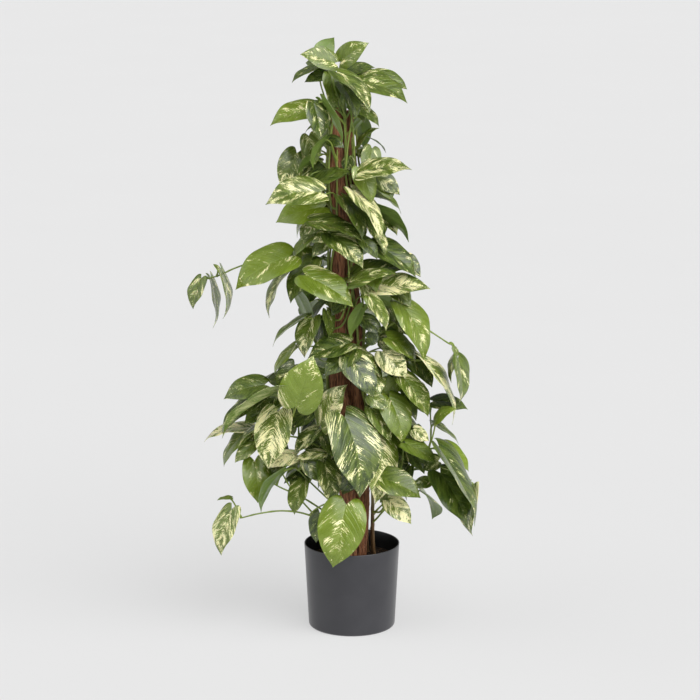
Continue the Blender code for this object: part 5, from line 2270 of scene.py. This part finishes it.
@dataclass
class Plant:
    """Trunks and vines.

    The nodes are those of the frame. A shoot's first points lie inside its stem, so no petiole grows there.
    """

    nodes: dict[str, Piece]
    support: Support
    climb: Climb
    blade: BladeForm
    petiole: PetioleForm
    hidden_points: int = 2

    def build(self) -> None:
        """Builds every piece of the plant and puts it in the place of its node."""
        trunks = self.build_trunks()
        stalks = Stalks(self.climb, self.petiole, StalkFinish().material())
        foliage = Foliage(self.blade, LeafFinish().material())
        vines = range(self.climb.count)
        strands = {number: [stalks.stem(number)] + stalks.rootlets(number) for number in vines}
        stems = list(self.climb.places)
        for knots in SHOOTS:
            number, path = self.climb.shoot(knots, self.climb.shoot_step)
            stems += [(number, point) for point in path[self.hidden_points:]]
            strands[number].append(stalks.shoot(self.climb.shoot(knots, stalks.shoot_fine)[1]))
        grown = self.settle_leaves(stems)
        filling = Filling(self.climb, self.blade, self.petiole)
        others = [filling.sheet(item.leaf) for item in grown] + trunks
        courses = [filling.stalk_with_room(knots, stalks.shoot_fine, others) for knots in LONG_STALKS]
        for number, path in filter(None, courses):
            strands[number].append(stalks.shoot(path))
        grown += filling.grow(grown, stems, trunks)
        leaves = {number: [] for number in vines}
        for item in grown:
            leaves[item.vine].append(item.leaf)
            strands[item.vine].append(self.petiole.strand(item.leaf, item.root))
        for number in vines:
            node = "vine_%d" % (number + 1)
            place_piece(foliage.build(number + 1, leaves[number]), Slot.FOLIAGE, node)
            place_piece(stalks.build(number + 1, strands[number]), Slot.FOLIAGE, node)

    def build_trunks(self) -> list[BVHTree]:
        """Builds the trunks.

        Returns:
            Their surfaces, for leaves to keep clear of.
        """
        bark = BarkFinish().material()
        trunks = []
        for name, node, rows, start in (("bark_front", "trunk_front", TRUNK_FRONT, 0.0),
                                        ("bark_back", "trunk_back", TRUNK_BACK, 2.0)):
            piece = Trunk(name, rows, start, self.support, self.climb.soil_top, bark).build()
            place_piece(piece, Slot.BARK, node)
            trunks.append(BVHTree.FromObject(piece, bpy.context.evaluated_depsgraph_get()))
        return trunks

    def settle_leaves(self, stems: Stems) -> list[Grown]:
        """Plans the leaves of the solids, and finds where each of them stands.

        Args:
            stems: Spots that a petiole can grow from.

        Returns:
            The leaves that the solids have.
        """
        planned = front_leaves()
        for cover in covers(self.support):
            planned += cover.leaves(len(planned))
        settling = Settling(self.climb, self.blade, self.petiole, self.nodes)
        settled = [settling.settle(leaf, stems) for leaf in planned]
        grown = [item for item in settled if item is not None]
        log.info("%d leaves of %d have their solids", len(grown), len(planned))
        return grown


class Lamp(NamedTuple):
    """Large soft lamp: where it is, how its edge fades in and how bright it is."""

    middle: tuple[float, float, float]
    edge: float
    full: float
    power: float


@dataclass
class Studio:
    """Pale floor, soft daylight and the camera."""

    lens: float = 131.14
    sensor: float = 36.0
    dip: float = math.radians(12.5)
    sight: float = 200.0
    floor_reach: float = 60.0
    sky: float = 0.18
    horizon: float = 0.86
    horizon_fade: Pair = (0.05, 0.23)
    lamps: tuple[Lamp, ...] = (
        Lamp((0.50, -0.55, 0.68), 0.76, 0.92, 3.9), Lamp((-0.75, -0.15, 0.60), 0.78, 0.94, 1.3),
    )

    def build(self) -> None:
        """Sets up the floor, the light and the camera."""
        self.lay_floor()
        self.light()
        data = bpy.data.cameras.new("camera")
        data.lens = self.lens
        data.sensor_width = self.sensor
        data.clip_end = self.sight
        camera = bpy.data.objects.new("camera", data)
        camera.location = EYE
        camera.rotation_euler = (math.pi / 2 - self.dip, 0, 0)
        bpy.context.scene.collection.objects.link(camera)
        bpy.context.scene.camera = camera
        bpy.context.scene.view_settings.view_transform = "Standard"

    def lay_floor(self) -> None:
        """Lays the pale floor under the pot."""
        far = self.floor_reach
        corners = [(-far, -far, 0), (far, -far, 0), (far, far, 0), (-far, far, 0)]
        floor = new_piece("studio_floor", corners, [], [(0, 1, 2, 3)])
        floor.data.materials.append(FloorFinish().material())

    def light(self) -> None:
        """Lights the plant with a pale room and large soft lamps, each a bright patch with soft edges."""
        world = bpy.data.worlds.new("pale_room")
        bpy.context.scene.world = world
        world.use_nodes = True
        room = Wiring(world.node_tree)
        way = room.add("ShaderNodeTexCoord").outputs["Generated"]
        height = room.add("ShaderNodeSeparateXYZ", {0: way}).outputs["Z"]
        total = room.spread(height, *self.horizon_fade, start=self.horizon, end=self.sky)
        for lamp in self.lamps:
            inputs = {0: way, 1: Vector(lamp.middle).normalized()}
            facing = room.add("ShaderNodeVectorMath", inputs, operation="DOT_PRODUCT").outputs["Value"]
            total = room.maths("ADD", total, room.spread(facing, lamp.edge, lamp.full, end=lamp.power))
        background = world.node_tree.nodes["Background"]
        room.feed(background.inputs["Color"], (1.0, 1.0, 1.0, 1.0))
        room.feed(background.inputs["Strength"], total)


def main() -> None:
    """Builds the pot, the soil, the plant and the studio."""
    logging.basicConfig(level=logging.INFO, format="%(name)s: %(message)s")
    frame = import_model()
    _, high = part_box("pot")
    pot = Pot(PotFinish().material(high[2]), height=high[2], rim_radius=high[0])
    place_piece(pot.build(), Slot.POT, "pot")
    soil = SoilBed(SoilFinish().material(), pot, SOIL_TOP)
    place_piece(soil.build(), Slot.SOIL, "soil")
    support, blade = Support(), BladeForm()
    Plant(frame["nodes"], support, Climb(support, SOIL_TOP), blade, PetioleForm(blade)).build()
    Studio().build()


if __name__ == "__main__":
    main()
